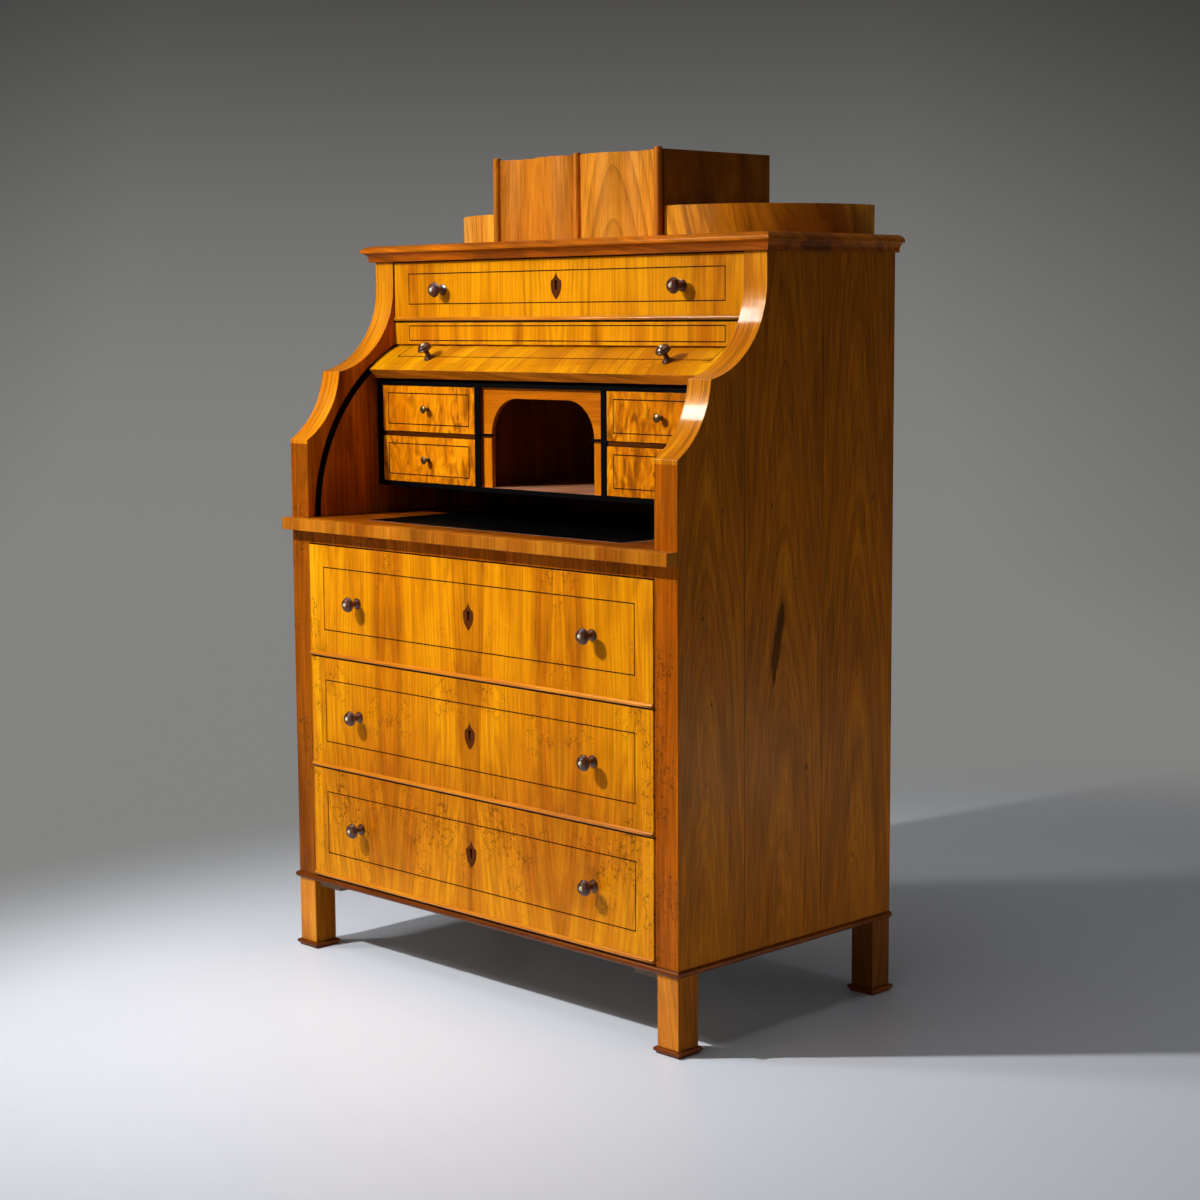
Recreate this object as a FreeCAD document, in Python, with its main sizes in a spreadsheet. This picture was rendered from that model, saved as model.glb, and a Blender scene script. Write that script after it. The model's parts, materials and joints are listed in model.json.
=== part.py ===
import FreeCAD, Part
import math
import os
import re

import Sketcher

# A cherry roll-top writing desk: three long drawers, a pull-out writing slide, a curved roll
# that runs in grooves in the scooped sides, a pigeonhole cabinet, a top drawer and an attic.
# Millimetres, +Z up, front towards -Y, origin under the middle of the whole desk.
# Heights are from the floor and depths from the front plane of the case, unless a note differs.

driving = {
    # case
    "case_width": 945,
    "case_depth": 514.2,
    "case_height": 1229,             # to the underside of the cornice
    "upper_height": 449,             # of the sides, over the writing slide
    "upper_depth": 313.4,            # of the case under the cornice
    "side_thickness": 48,            # front edge of a side, and its two scoops
    "side_wall": 22,                 # what is left of a side behind the drawer relief
    "post_depth": 48,
    "rear_post_depth": 24,
    "back_thickness": 12,
    "bottom_thickness": 11,
    "moulding_reach": 5.5,
    # legs and feet
    "leg_width": 44.5,
    "leg_height": 125.5,             # to the underside of the bottom board
    "foot_height": 10.5,
    "foot_overhang": 5,
    "foot_plinth": 3,
    "foot_round": 3,
    "foot_step": 0.4,                # of the plinth, inside the rounded rim
    "block_length": 60,
    "block_height": 12,
    "block_width": 20,
    "block_setback": 11,
    # writing slide
    "slide_thickness": 21,
    "slide_overhang": 23.3,          # of the lip, in front of the case
    "slide_rear_gap": 72.2,          # to the back panel
    "slide_tongue": 10,              # how far the slide reaches into the sides
    "slide_clearance": 0.4,
    "leather_margin": 109.5,
    "leather_setback": 43,
    "leather_rear_margin": 22,
    "leather_thickness": 1.5,
    "front_rail_height": 22.5,
    "front_rail_depth": 70,
    # scoops of the sides, drops from the underside of the cornice
    "scoop_drop": 312,
    "step_drop": 194,
    "step_setback": 74,
    "lower_scoop_radius": 149,
    "upper_scoop_radius": 152,
    # roll
    "roll_setback": 17.7,            # of the closed roll, behind the front plane
    "roll_thickness": 9,
    "roll_show_length": 75.7,        # along the open roll, in front of the frieze
    "roll_rail_depth": 20,
    "roll_rail_width": 18,
    "roll_end_clearance": 1,
    "roll_clearance": 2,             # to the shelf over it
    "frieze_clearance": 4.5,         # from the roll to the frieze
    "roll_rear_clearance": 5,        # to the back panel
    "groove_depth": 9,
    "groove_clearance": 0.4,         # under the roll
    "groove_slack": 3.5,             # over the roll
    "roll_knob_setback": 36,         # along the roll, from its leading edge
    # drawers
    "drawer_gap": 2,
    "drawer_proud": 1.7,
    "run_clearance": 0.3,
    "front_thickness": 20,
    "bead_height": 8,
    "bead_reach": 3.5,
    "box_board": 12,
    "box_bottom": 8,
    "box_bottom_rise": 6,
    "drawer_rear_gap": 20,
    "dust_thickness": 10,
    "guide_height": 30,
    "knob_inset": 132.8,             # from the ends of a drawer
    "knob_above_middle": 3,
    "keyhole_above_middle": 7.5,
    # top drawer and frieze
    "top_drawer_height": 104.6,
    "top_drawer_recess": 2.6,
    "shelf_thickness": 8,
    "frieze_thickness": 18,
    # turned knobs, their lengths from the face they stand on
    "knob_length": 30,
    "knob_head": 26.5,
    "knob_base": 19.5,
    "knob_base_height": 3,
    "knob_neck_height": 18.5,        # where the neck opens into the head
    "knob_rim": 4,
    "knob_cove": 6,
    "tenon_diameter": 9,
    "tenon_clearance": 0.1,
    "small_knob_length": 14,
    "small_knob_head": 14,
    "small_knob_base": 9,
    "small_knob_base_height": 1.5,
    "small_knob_neck_height": 8,
    "small_knob_rim": 1.5,
    "small_knob_cove": 3,
    "small_tenon_diameter": 4,
    # keyhole shields and locks
    "shield_width": 24,
    "shield_above": 23,              # from the middle of the keyhole to the upper point
    "shield_below": 24,              # from the middle of the keyhole to the lower point
    "shield_shoulder": 7.7,          # from the middle of the keyhole up to the shoulders
    "shield_hollow": 2.5,            # of the curves over the shoulders
    "shield_swell": 5,               # of the curves under the shoulders
    "shield_thickness": 1.5,
    "shield_inset": 1.2,
    "keyhole_width": 6,
    "keyhole_height": 17,
    "keyhole_slot": 4,
    "lock_width": 70,
    "lock_height": 46,
    "lock_thickness": 9,
    # pigeonhole cabinet
    "pigeonhole_lift": 50.5,         # over the writing height
    "pigeonhole_drop": 93.4,         # under the crown of the roll
    "pigeonhole_rear_gap": 37.3,     # to the back panel
    "pigeonhole_clearance": 8.4,     # to the leading rail of the roll
    "pigeonhole_floor": 8,
    "pigeonhole_top": 7,
    "pigeonhole_end": 15,
    "pigeonhole_back": 8,
    "partition_thickness": 13.3,
    "niche_width": 296,
    "divider_thickness": 7.5,
    "facing_thickness": 2.5,
    "arch_recess": 7,
    "arch_thickness": 8,
    "arch_width": 251,
    "arch_crown": 18,                # from the opening up to the lid
    "arch_radius": 63,
    "impost_drop": 2.5,              # under the springing of the arch
    "impost_height": 4,
    "impost_reach": 5,
    "small_gap": 0.8,
    "small_front": 12,
    "small_board": 6,
    "small_bottom": 4,
    # cornice
    "cornice_height": 28.6,
    "cornice_reach": 20,
    "cornice_neck": 9,
    "cornice_foot": 4,
    "cornice_cove_height": 12,
    "cornice_thumb": 7.5,            # drop of the rounded top edge
    "cornice_thumb_width": 17,
    "cornice_step": 1.5,
    # attic over the cornice
    "attic_width": 403,
    "attic_depth": 272,
    "attic_height": 144.4,
    "attic_board": 14,
    "column_diameter": 14,
    "column_rise": 3,                # of the columns over the panels
    "middle_column_setback": 5.8,
    "panel_swell": 12,
    "panel_thickness": 30,
    "wing_offset": 6,                # of the middle of the bend, from the side of the attic
    "wing_inset": 34,                # of the middle of the bend, from the back
    "wing_height": 50,
    "wing_wall": 12,
    "wing_top": 10,
}

drawer_count = 3

# Sizes that follow from the driving ones.
following = {
    "half_width": "case_width / 2",
    "inner_half": "case_width / 2 - side_thickness",
    "relief_half": "case_width / 2 - side_wall",
    "front_y": "-(case_depth + foot_overhang - drawer_proud - knob_length) / 2",
    "back_inner": "case_depth - back_thickness",
    "writing_height": "case_height - upper_height",
    "upper_setback": "case_depth - upper_depth",
    "relief_end": "case_depth - back_thickness - rear_post_depth",
    "case_bottom": "leg_height + bottom_thickness",
    "slide_bottom": "writing_height - slide_thickness",
    "slide_depth": "back_inner - slide_rear_gap",
    "opening_top": "writing_height - slide_thickness - slide_clearance - front_rail_height",
    "drawer_height": f"(opening_top - case_bottom - {drawer_count + 1} * drawer_gap) / {drawer_count}",
    "drawer_pitch": "drawer_height + drawer_gap",
    "front_back": "front_thickness - drawer_proud",
    "drawer_half": "inner_half - drawer_gap",
    "knob_spacing": "2 * (drawer_half - knob_inset)",
    "leather_width": "2 * (inner_half - leather_margin)",
    "leather_depth": "slide_depth - leather_setback - leather_rear_margin",
    "scoop_start": "case_height - scoop_drop",
    "step_height": "case_height - step_drop",
    "scoop_middle": "upper_setback - upper_scoop_radius",
    "scoop_end": "step_height + sqrt(upper_scoop_radius^2 - (step_setback - scoop_middle)^2)",
    "axis_height": "writing_height + slide_clearance",
    "shelf_top": "case_height - top_drawer_height - 2 * drawer_gap",
    "shelf_bottom": "shelf_top - shelf_thickness",
    "roll_radius": "shelf_bottom - roll_clearance - axis_height",
    "axis_depth": "roll_setback + roll_radius",
    "roll_inner": "roll_radius - roll_thickness",
    "roll_rail_inner": "roll_radius - roll_rail_depth",
    "roll_rail_angle": "roll_rail_width / roll_radius * 180 / pi",
    "roll_rear_room": "back_inner - roll_rear_clearance - axis_depth",
    "roll_rear_angle": "90 + asin(roll_rear_room / roll_radius) / 1deg",
    "groove_end_angle": "90 + asin((back_inner - axis_depth) / roll_radius) / 1deg",
    "frieze_front": "upper_setback + top_drawer_recess",
    "frieze_back": "frieze_front + frieze_thickness",
    "frieze_bend": "roll_radius + frieze_clearance",
    "frieze_angle": "acos((axis_depth - frieze_front) / frieze_bend) / 1deg",
    "roll_open_angle": "frieze_angle - roll_show_length / roll_radius * 180 / pi",
    "roll_knob_angle": "roll_open_angle + roll_knob_setback / roll_radius * 180 / pi",
    "frieze_low": "axis_height + sqrt(frieze_bend^2 - (axis_depth - frieze_front)^2)",
    "frieze_high": "axis_height + sqrt(frieze_bend^2 - (axis_depth - frieze_back)^2)",
    "cabinet_bottom": "writing_height + pigeonhole_lift",
    "cabinet_top": "axis_height + roll_radius - pigeonhole_drop",
    "cabinet_reach": "roll_rail_inner - pigeonhole_clearance",
    "cabinet_front": "axis_depth - sqrt(cabinet_reach^2 - (cabinet_top - axis_height)^2)",
    "cabinet_boards": "cabinet_front + facing_thickness",
    "cabinet_back": "back_inner - pigeonhole_rear_gap",
    "cell_bottom": "cabinet_bottom + pigeonhole_floor",
    "cell_top": "cabinet_top - pigeonhole_top",
    "niche_half": "niche_width / 2",
    "cell_inside": "niche_half + partition_thickness",
    "cell_outside": "inner_half - pigeonhole_end",
    "cell_height": "(cell_top - cell_bottom - divider_thickness) / 2",
    "arch_height": "cell_top - cell_bottom - arch_crown",
    "impost_rise": "arch_height - arch_radius - impost_drop",
    "cornice_top": "case_height + cornice_height",
    "attic_half": "attic_width / 2",
    "attic_setback": "case_depth - attic_depth",
    "attic_top": "cornice_top + attic_height",
    "panel_top": "attic_top - column_rise",
    "column_radius": "column_diameter / 2",
    "column_line": "attic_setback + column_radius",
    "panel_back": "column_line + panel_thickness",
    "wing_reach": "attic_depth - column_diameter - wing_inset",
    "wing_radius": "sqrt(wing_reach^2 + wing_offset^2)",
    "wing_across": "attic_half + wing_offset",
    "wing_along": "case_depth - wing_inset",
}

doc = FreeCAD.newDocument("desk")
cell_of = {}


def words_to_cells(formula):
    """Turn the size names in a formula into the sheet cells that hold them."""
    return re.sub(r"[a-z][a-z_]+", lambda word: cell_of.get(word.group(), word.group()), formula)


def fill_sheet(sheet_name, rows):
    sheet = doc.addObject("Spreadsheet::Sheet", sheet_name)
    for row, (name, content) in enumerate(rows.items(), 1):
        sheet.set(f"A{row}", name)
        text = "=" + words_to_cells(content) if isinstance(content, str) else str(content)
        sheet.set(f"B{row}", text)
        sheet.setAlias(f"B{row}", name)
        cell_of[name] = f"{sheet_name}.{name}"
    return sheet


sizes = fill_sheet("Desk", driving)
fits = fill_sheet("Fit", following)
doc.recompute()


def measure(formula):
    """The value of a formula at the present sizes."""
    return float(sizes.evalExpression(words_to_cells(formula)))


def tie(item, name, formula):
    item.setExpression(name, words_to_cells(formula))


def place(item, x, y, z, turn=None):
    """Put an item at x, at a depth y behind the front plane and at height z; turn is about X."""
    if turn is not None:
        item.Placement = FreeCAD.Placement(
            FreeCAD.Vector(), FreeCAD.Rotation(FreeCAD.Vector(1, 0, 0), measure(turn)))
        tie(item, ".Placement.Rotation.Angle", turn)
    tie(item, ".Placement.Base.x", x)
    tie(item, ".Placement.Base.y", f"front_y + {y}")
    tie(item, ".Placement.Base.z", z)


def board(name, x, y, z):
    """A flat board; x, y and z each give where it starts and where it ends."""
    solid = doc.addObject("Part::Box", name)
    for side, (start, end) in zip(("Length", "Width", "Height"), (x, y, z)):
        tie(solid, side, f"({end}) - ({start})")
    place(solid, x[0], f"({y[0]})", z[0])
    return solid


def across(half):
    return f"-({half})", half


def on_side(sign, near, far):
    """Start and end along X of a piece that lies between near and far, right or left."""
    return (near, far) if sign > 0 else (f"-({far})", f"-({near})")


def bow(start, end, rise):
    """Radius of an arc that rises by rise over the chord between two corners."""
    chord = f"(({end[0]}) - ({start[0]}))^2 + (({end[1]}) - ({start[1]}))^2"
    return f"({chord}) / (8 * ({rise})) + ({rise}) / 2"


def new_sketch(body, name, role, lift=None):
    """An empty sketch on one of the body's own planes, raised by lift (three formulas)."""
    sketch = body.newObject("Sketcher::SketchObject", name)
    plane = next(item for item in body.Origin.OriginFeatures if item.Role == role)
    sketch.AttachmentSupport = [(plane, "")]
    sketch.MapMode = "FlatFace"
    for axis, formula in zip("xyz", lift or ()):
        tie(sketch, f".AttachmentOffset.Base.{axis}", formula)
    return sketch


def pin_point(sketch, edge, end, x, y):
    for kind, formula in (("DistanceX", x), ("DistanceY", y)):
        index = sketch.addConstraint(
            Sketcher.Constraint(kind, -1, 1, edge, end, measure(formula)))
        tie(sketch, f"Constraints[{index}]", formula)


def pin_radius(sketch, edge, radius):
    index = sketch.addConstraint(Sketcher.Constraint("Radius", edge, measure(radius)))
    tie(sketch, f"Constraints[{index}]", radius)


def arc_between(start, end, radius, turn):
    """The short arc from start to end, whose middle lies to the left or to the right."""
    chord = end - start
    side = 1 if turn == "left" else -1
    normal = FreeCAD.Vector(-chord.y, chord.x, 0).normalize() * side
    reach = math.sqrt(max(radius ** 2 - (chord.Length / 2) ** 2, 0))
    middle = (start + end) * 0.5 + normal * reach
    first, last = (start, end) if turn == "left" else (end, start)
    angles = [math.atan2(point.y - middle.y, point.x - middle.x) for point in (first, last)]
    circle = Part.Circle(middle, FreeCAD.Vector(0, 0, 1), radius)
    return Part.ArcOfCircle(circle, *angles)


def outline(sketch, corners, bends=None):
    """A closed run of lines through the corners; bends gives an edge's radius and turn."""
    bends = bends or {}
    points = [FreeCAD.Vector(measure(x), measure(y), 0) for x, y in corners]
    first_edge = sketch.GeometryCount
    ends = []
    for index, start in enumerate(points):
        end = points[(index + 1) % len(points)]
        if index in bends:
            radius, turn = bends[index]
            sketch.addGeometry(arc_between(start, end, measure(radius), turn))
            ends.append((1, 2) if turn == "left" else (2, 1))
        else:
            sketch.addGeometry(Part.LineSegment(start, end))
            ends.append((1, 2))
    for index, corner in enumerate(corners):
        edge = first_edge + index
        before = first_edge + (index - 1) % len(corners)
        sketch.addConstraint(
            Sketcher.Constraint("Coincident", before, ends[index - 1][1], edge, ends[index][0]))
        pin_point(sketch, edge, ends[index][0], *corner)
    for index, (radius, turn) in bends.items():
        pin_radius(sketch, first_edge + index, radius)


def rectangle(sketch, x, y):
    outline(sketch, [(x[0], y[0]), (x[1], y[0]), (x[1], y[1]), (x[0], y[1])])


def disc(sketch, x, y, radius):
    middle = FreeCAD.Vector(measure(x), measure(y), 0)
    edge = sketch.addGeometry(Part.Circle(middle, FreeCAD.Vector(0, 0, 1), measure(radius)))
    pin_point(sketch, edge, 3, x, y)
    pin_radius(sketch, edge, radius)


def pad(body, sketch, length, back=False):
    feature = body.newObject("PartDesign::Pad", sketch.Name + "_pad")
    feature.Profile = sketch
    feature.Reversed = back
    tie(feature, "Length", length)
    return feature


def pocket(body, sketch, depth=None, back=False):
    """Cut a sketch into the body, to a depth or right through."""
    feature = body.newObject("PartDesign::Pocket", sketch.Name + "_cut")
    feature.Profile = sketch
    feature.Reversed = back
    if depth is None:
        feature.Type = "ThroughAll"
    else:
        tie(feature, "Length", depth)
    return feature


def turn_about(body, kind, sketch, axis, angle, back=False):
    """Revolve a sketch about one of its own axes, to add or to cut."""
    feature = body.newObject(f"PartDesign::{kind}", f"{sketch.Name}_turned")
    feature.Profile = sketch
    feature.ReferenceAxis = (sketch, [axis])
    feature.Reversed = back
    tie(feature, "Angle", angle)
    return feature


def new_body(name):
    return doc.addObject("PartDesign::Body", name)


def group(name, solids):
    """Separate solids that share one name."""
    together = doc.addObject("Part::Compound", name)
    together.Links = solids
    return together


def mirrored(name, solid):
    copy = doc.addObject("Part::Mirroring", name)
    copy.Source = solid
    copy.Normal = FreeCAD.Vector(1, 0, 0)
    return copy


nodes = []


def keep(item):
    """Mark an item as one named sub-part of the desk."""
    item.Label = item.Name
    nodes.append(item)
    return item


# Sides: scooped outline, relief behind the front post, slot for the slide, groove for the roll.
def side(name, sign):
    body = new_body(name)
    inward = sign < 0
    profile = new_sketch(body, f"{name}_outline", "YZ_Plane")
    outline(profile, [
        ("0", "case_bottom"),
        ("case_depth", "case_bottom"),
        ("case_depth", "case_height"),
        ("upper_setback", "case_height"),
        ("upper_setback", "scoop_end"),
        ("step_setback", "step_height"),
        ("0", "scoop_start"),
    ], {4: ("upper_scoop_radius", "right"), 5: ("lower_scoop_radius", "right")})
    pad(body, profile, "side_thickness", inward)

    relief = new_sketch(body, f"{name}_relief", "YZ_Plane")
    rectangle(relief, ("post_depth", "relief_end"), ("leg_height", "opening_top"))
    pocket(body, relief, "side_thickness - side_wall", not inward)

    slot = new_sketch(body, f"{name}_slot", "YZ_Plane")
    rectangle(slot, ("-slide_overhang", "slide_depth + slide_clearance"),
              ("slide_bottom - slide_clearance", "writing_height + slide_clearance"))
    pocket(body, slot, "slide_tongue + slide_clearance", not inward)

    section = new_sketch(body, f"{name}_groove", "XY_Plane", ("0", "axis_depth", "axis_height"))
    rectangle(section, on_side(sign, "0", "groove_depth"),
              ("-(roll_radius + groove_slack)", "-(roll_inner - groove_clearance)"))
    turn_about(body, "Groove", section, "H_Axis", "groove_end_angle", True)
    place(body, "inner_half" if sign > 0 else "-inner_half", "0", "0")
    return keep(body)


side("side_left", -1)
side("side_right", 1)

keep(board("bottom_board", across("half_width"), ("0", "case_depth"), ("leg_height", "case_bottom")))
keep(board("back_panel", across("inner_half"), ("back_inner", "case_depth"),
           ("case_bottom", "case_height")))
keep(board("front_rail", across("inner_half"), ("0", "front_rail_depth"),
           ("opening_top", "slide_bottom - slide_clearance")))
keep(board("top_drawer_shelf", across("inner_half"), ("frieze_back", "back_inner"),
           ("shelf_bottom", "shelf_top")))
keep(board("top_board", across("half_width"), ("upper_setback", "case_depth"),
           ("case_height", "cornice_top")))


# Frieze: its lower edge is hollowed to clear the roll.
def frieze_panel():
    body = new_body("frieze_panel")
    profile = new_sketch(body, "frieze_outline", "YZ_Plane")
    outline(profile, [
        ("frieze_front", "frieze_low"),
        ("frieze_back", "frieze_high"),
        ("frieze_back", "shelf_top"),
        ("frieze_front", "shelf_top"),
    ], {0: ("frieze_bend", "right")})
    pad(body, profile, "2 * inner_half")
    place(body, "-inner_half", "0", "0")
    return keep(body)


frieze_panel()


# Mouldings: a front strip and two side strips that meet in mitres.
def moulding(name, profile, bends, reach, face):
    """profile lists corners as a reach out of the face and a height."""
    front = new_body(f"{name}_front")
    section = new_sketch(front, f"{name}_front_section", "YZ_Plane")
    outline(section, [(f"-({out})", height) for out, height in profile],
            {edge: (radius, "right" if turn == "left" else "left")
             for edge, (radius, turn) in bends.items()})
    pad(front, section, f"2 * (half_width + {reach})")
    mitres = new_sketch(front, f"{name}_front_mitres", "XY_Plane")
    overall = f"2 * half_width + {reach}"
    outline(mitres, [(reach, "0"), ("0", "0"), ("0", f"-({reach})")])
    outline(mitres, [(overall, "0"), (f"{overall} + {reach}", f"-({reach})"), (f"{overall} + {reach}", "0")])
    pocket(front, mitres, back=True)
    place(front, f"-(half_width + {reach})", face, "0")

    right = new_body(f"{name}_right")
    section = new_sketch(right, f"{name}_right_section", "XZ_Plane")
    outline(section, profile, bends)
    pad(right, section, f"case_depth - ({face}) + {reach}", True)
    mitre = new_sketch(right, f"{name}_right_mitre", "XY_Plane")
    outline(mitre, [("0", "0"), (reach, "0"), ("0", reach)])
    pocket(right, mitre, back=True)
    place(right, "half_width", f"({face}) - {reach}", "0")
    return keep(group(name, [front, right, mirrored(f"{name}_left", right)]))


def base_moulding():
    low = ("0", "leg_height")
    nose = ("moulding_reach", "leg_height + bottom_thickness / 2")
    high = ("0", "case_bottom")
    radius = "bottom_thickness^2 / (8 * moulding_reach) + moulding_reach / 2"
    moulding("base_moulding", [low, nose, high], {0: (radius, "left"), 1: (radius, "left")},
             "moulding_reach", "0")


base_moulding()


def cornice():
    cove_low = ("cornice_neck", "case_height + cornice_foot")
    cove_high = ("cornice_reach - cornice_step", "case_height + cornice_foot + cornice_cove_height")
    lip_low = ("cornice_reach", cove_high[1])
    thumb_low = ("cornice_reach", "cornice_top - cornice_thumb")
    thumb_high = ("cornice_reach - cornice_thumb_width", "cornice_top")
    corners = [("0", "case_height"), ("cornice_neck", "case_height"), cove_low, cove_high, lip_low,
               thumb_low, thumb_high, ("0", "cornice_top")]
    bends = {2: (bow(cove_low, cove_high, "cornice_cove_height / 4"), "right"),
             5: (bow(thumb_low, thumb_high, "cornice_thumb / 4"), "left")}
    moulding("cornice", corners, bends, "cornice_reach", "upper_setback")


cornice()


# Legs, feet and the glue blocks beside the legs.
def corner_pieces(make):
    return [make(f"{end}_{hand}", sign, end == "front")
            for end in ("front", "rear") for hand, sign in (("left", -1), ("right", 1))]


def leg(corner, sign, in_front):
    depth = ("0", "leg_width") if in_front else ("case_depth - leg_width", "case_depth")
    return board(f"leg_{corner}", on_side(sign, "half_width - leg_width", "half_width"), depth,
                 ("foot_height", "leg_height"))


def foot(corner, sign, in_front):
    body = new_body(f"foot_{corner}")
    reach = "leg_width / 2 + foot_overhang"
    plinth = new_sketch(body, f"foot_{corner}_plinth", "XY_Plane")
    inset = "foot_round + foot_step"
    rectangle(plinth, across(f"{reach} - ({inset})"), across(f"{reach} - ({inset})"))
    pad(body, plinth, "foot_plinth")
    ring = new_sketch(body, f"foot_{corner}_ring", "XY_Plane", ("0", "0", "foot_plinth"))
    rectangle(ring, across(reach), across(reach))
    block = pad(body, ring, "foot_height - foot_plinth")
    doc.recompute()
    shortest = 2 * measure(reach) - measure(inset)
    edges = [f"Edge{number}" for number, edge in enumerate(block.Shape.Edges, 1)
             if edge.Length > shortest]
    rounding = body.newObject("PartDesign::Fillet", f"foot_{corner}_round")
    rounding.Base = (block, edges)
    tie(rounding, "Radius", "foot_round")
    middle = "half_width - leg_width / 2"
    depth = "leg_width / 2" if in_front else "case_depth - leg_width / 2"
    place(body, middle if sign > 0 else f"-({middle})", depth, "0")
    return body


def leg_block(corner, sign, in_front):
    start = "block_setback" if in_front else "case_depth - block_setback - block_width"
    inner = "half_width - leg_width"
    return board(f"block_{corner}", on_side(sign, f"{inner} - block_length", inner),
                 (start, f"{start} + block_width"), ("leg_height - block_height", "leg_height"))


keep(group("legs", corner_pieces(leg)))
keep(group("foot_pads", corner_pieces(foot)))
keep(group("leg_blocks", corner_pieces(leg_block)))


# Dust boards that the two upper long drawers run on, notched round the front posts.
def long_drawer_floor(level):
    return f"(case_bottom + drawer_gap + {level} * drawer_pitch)"


def dust_board(level):
    body = new_body(f"dust_board_{level}")
    plan = new_sketch(body, f"dust_plan_{level}", "XY_Plane")
    front = "front_back + run_clearance"
    outline(plan, [
        ("-inner_half", front), ("inner_half", front), ("inner_half", "post_depth"),
        ("relief_half", "post_depth"), ("relief_half", "relief_end"), ("-relief_half", "relief_end"),
        ("-relief_half", "post_depth"), ("-inner_half", "post_depth"),
    ])
    pad(body, plan, "dust_thickness")
    place(body, "0", "0", f"{long_drawer_floor(level)} - drawer_gap - dust_thickness")
    return body


keep(group("dust_boards", [dust_board(level) for level in range(1, drawer_count)]))


def drawer_guide(level, sign):
    low = f"{long_drawer_floor(level)} - drawer_gap"
    hand = "right" if sign > 0 else "left"
    return board(f"guide_{level}_{hand}", on_side(sign, "inner_half", "relief_half"),
                 ("post_depth", "relief_end"), (low, f"{low} + guide_height"))


keep(group("drawer_guides",
           [drawer_guide(level, sign) for level in range(drawer_count) for sign in (-1, 1)]))


# Turned knobs: one profile, revolved, with a tenon behind the face.
def knob(name, kind, tenon, tenon_length):
    body = new_body(name)
    profile = new_sketch(body, f"{name}_profile", "XZ_Plane")
    base = (f"{kind}_base / 2", f"{kind}_base_height")
    neck = (f"{kind}_head / 2", f"{kind}_neck_height")
    rim = (neck[0], f"{kind}_neck_height + {kind}_rim")
    crown = ("0", f"{kind}_length")
    shoulder = (f"{tenon} / 2", "0")
    dome_height = f"({crown[1]} - ({rim[1]}))"
    dome = f"({rim[0]})^2 / (2 * {dome_height}) + {dome_height} / 2"
    outline(profile, [
        ("0", f"-({tenon_length})"), (shoulder[0], f"-({tenon_length})"), shoulder,
        (base[0], "0"), base, neck, rim, crown,
    ], {4: (bow(base, neck, f"{kind}_cove"), "right"),
        6: (dome, "left")})
    turn_about(body, "Revolution", profile, "V_Axis", "360")
    return body


# Keyhole shields, and the keyhole that goes on through the front and the lock.
def shield_outline(sketch, height):
    half = "shield_width / 2"
    level = f"{height} + shield_shoulder"
    low = ("0", f"{height} - shield_below")
    high = ("0", f"{height} + shield_above")
    right, left = (half, level), (f"-{half}", level)
    swell = bow(low, right, "shield_swell")
    hollow = bow(right, high, "shield_hollow")
    outline(sketch, [low, right, high, left],
            {0: (swell, "left"), 1: (hollow, "right"), 2: (hollow, "right"), 3: (swell, "left")})


def keyhole_outline(sketch, height):
    radius = "keyhole_width / 2"
    top = f"{height} + keyhole_height / 2"
    slot = "keyhole_slot / 2"
    meet = f"{top} - {radius} - sqrt(keyhole_width^2 - keyhole_slot^2) / 2"
    low = f"{height} - keyhole_height / 2"
    equator = f"{top} - {radius}"
    outline(sketch, [
        (f"-{slot}", low), (slot, low), (slot, meet), (radius, equator), ("0", top),
        (f"-{radius}", equator), (f"-{slot}", meet),
    ], {edge: (radius, "left") for edge in (2, 3, 4, 5)})


def drawer_fittings(name, face, keyhole):
    """The shield in the front and the lock behind it, round one keyhole."""
    shield = new_body(f"{name}_shield")
    shape = new_sketch(shield, f"{name}_shield_shape", "XZ_Plane")
    shield_outline(shape, "0")
    keyhole_outline(shape, "0")
    pad(shield, shape, "shield_thickness", True)
    place(shield, "0", f"{face} + shield_inset - shield_thickness", keyhole)
    keep(shield)

    lock = new_body(f"{name}_lock")
    case = new_sketch(lock, f"{name}_lock_case", "XZ_Plane")
    rectangle(case, across("lock_width / 2"), ("-lock_height / 2", "lock_height / 2"))
    keyhole_outline(case, "0")
    pad(lock, case, "lock_thickness", True)
    place(lock, "0", f"{face} + front_thickness", keyhole)
    keep(lock)


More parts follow.
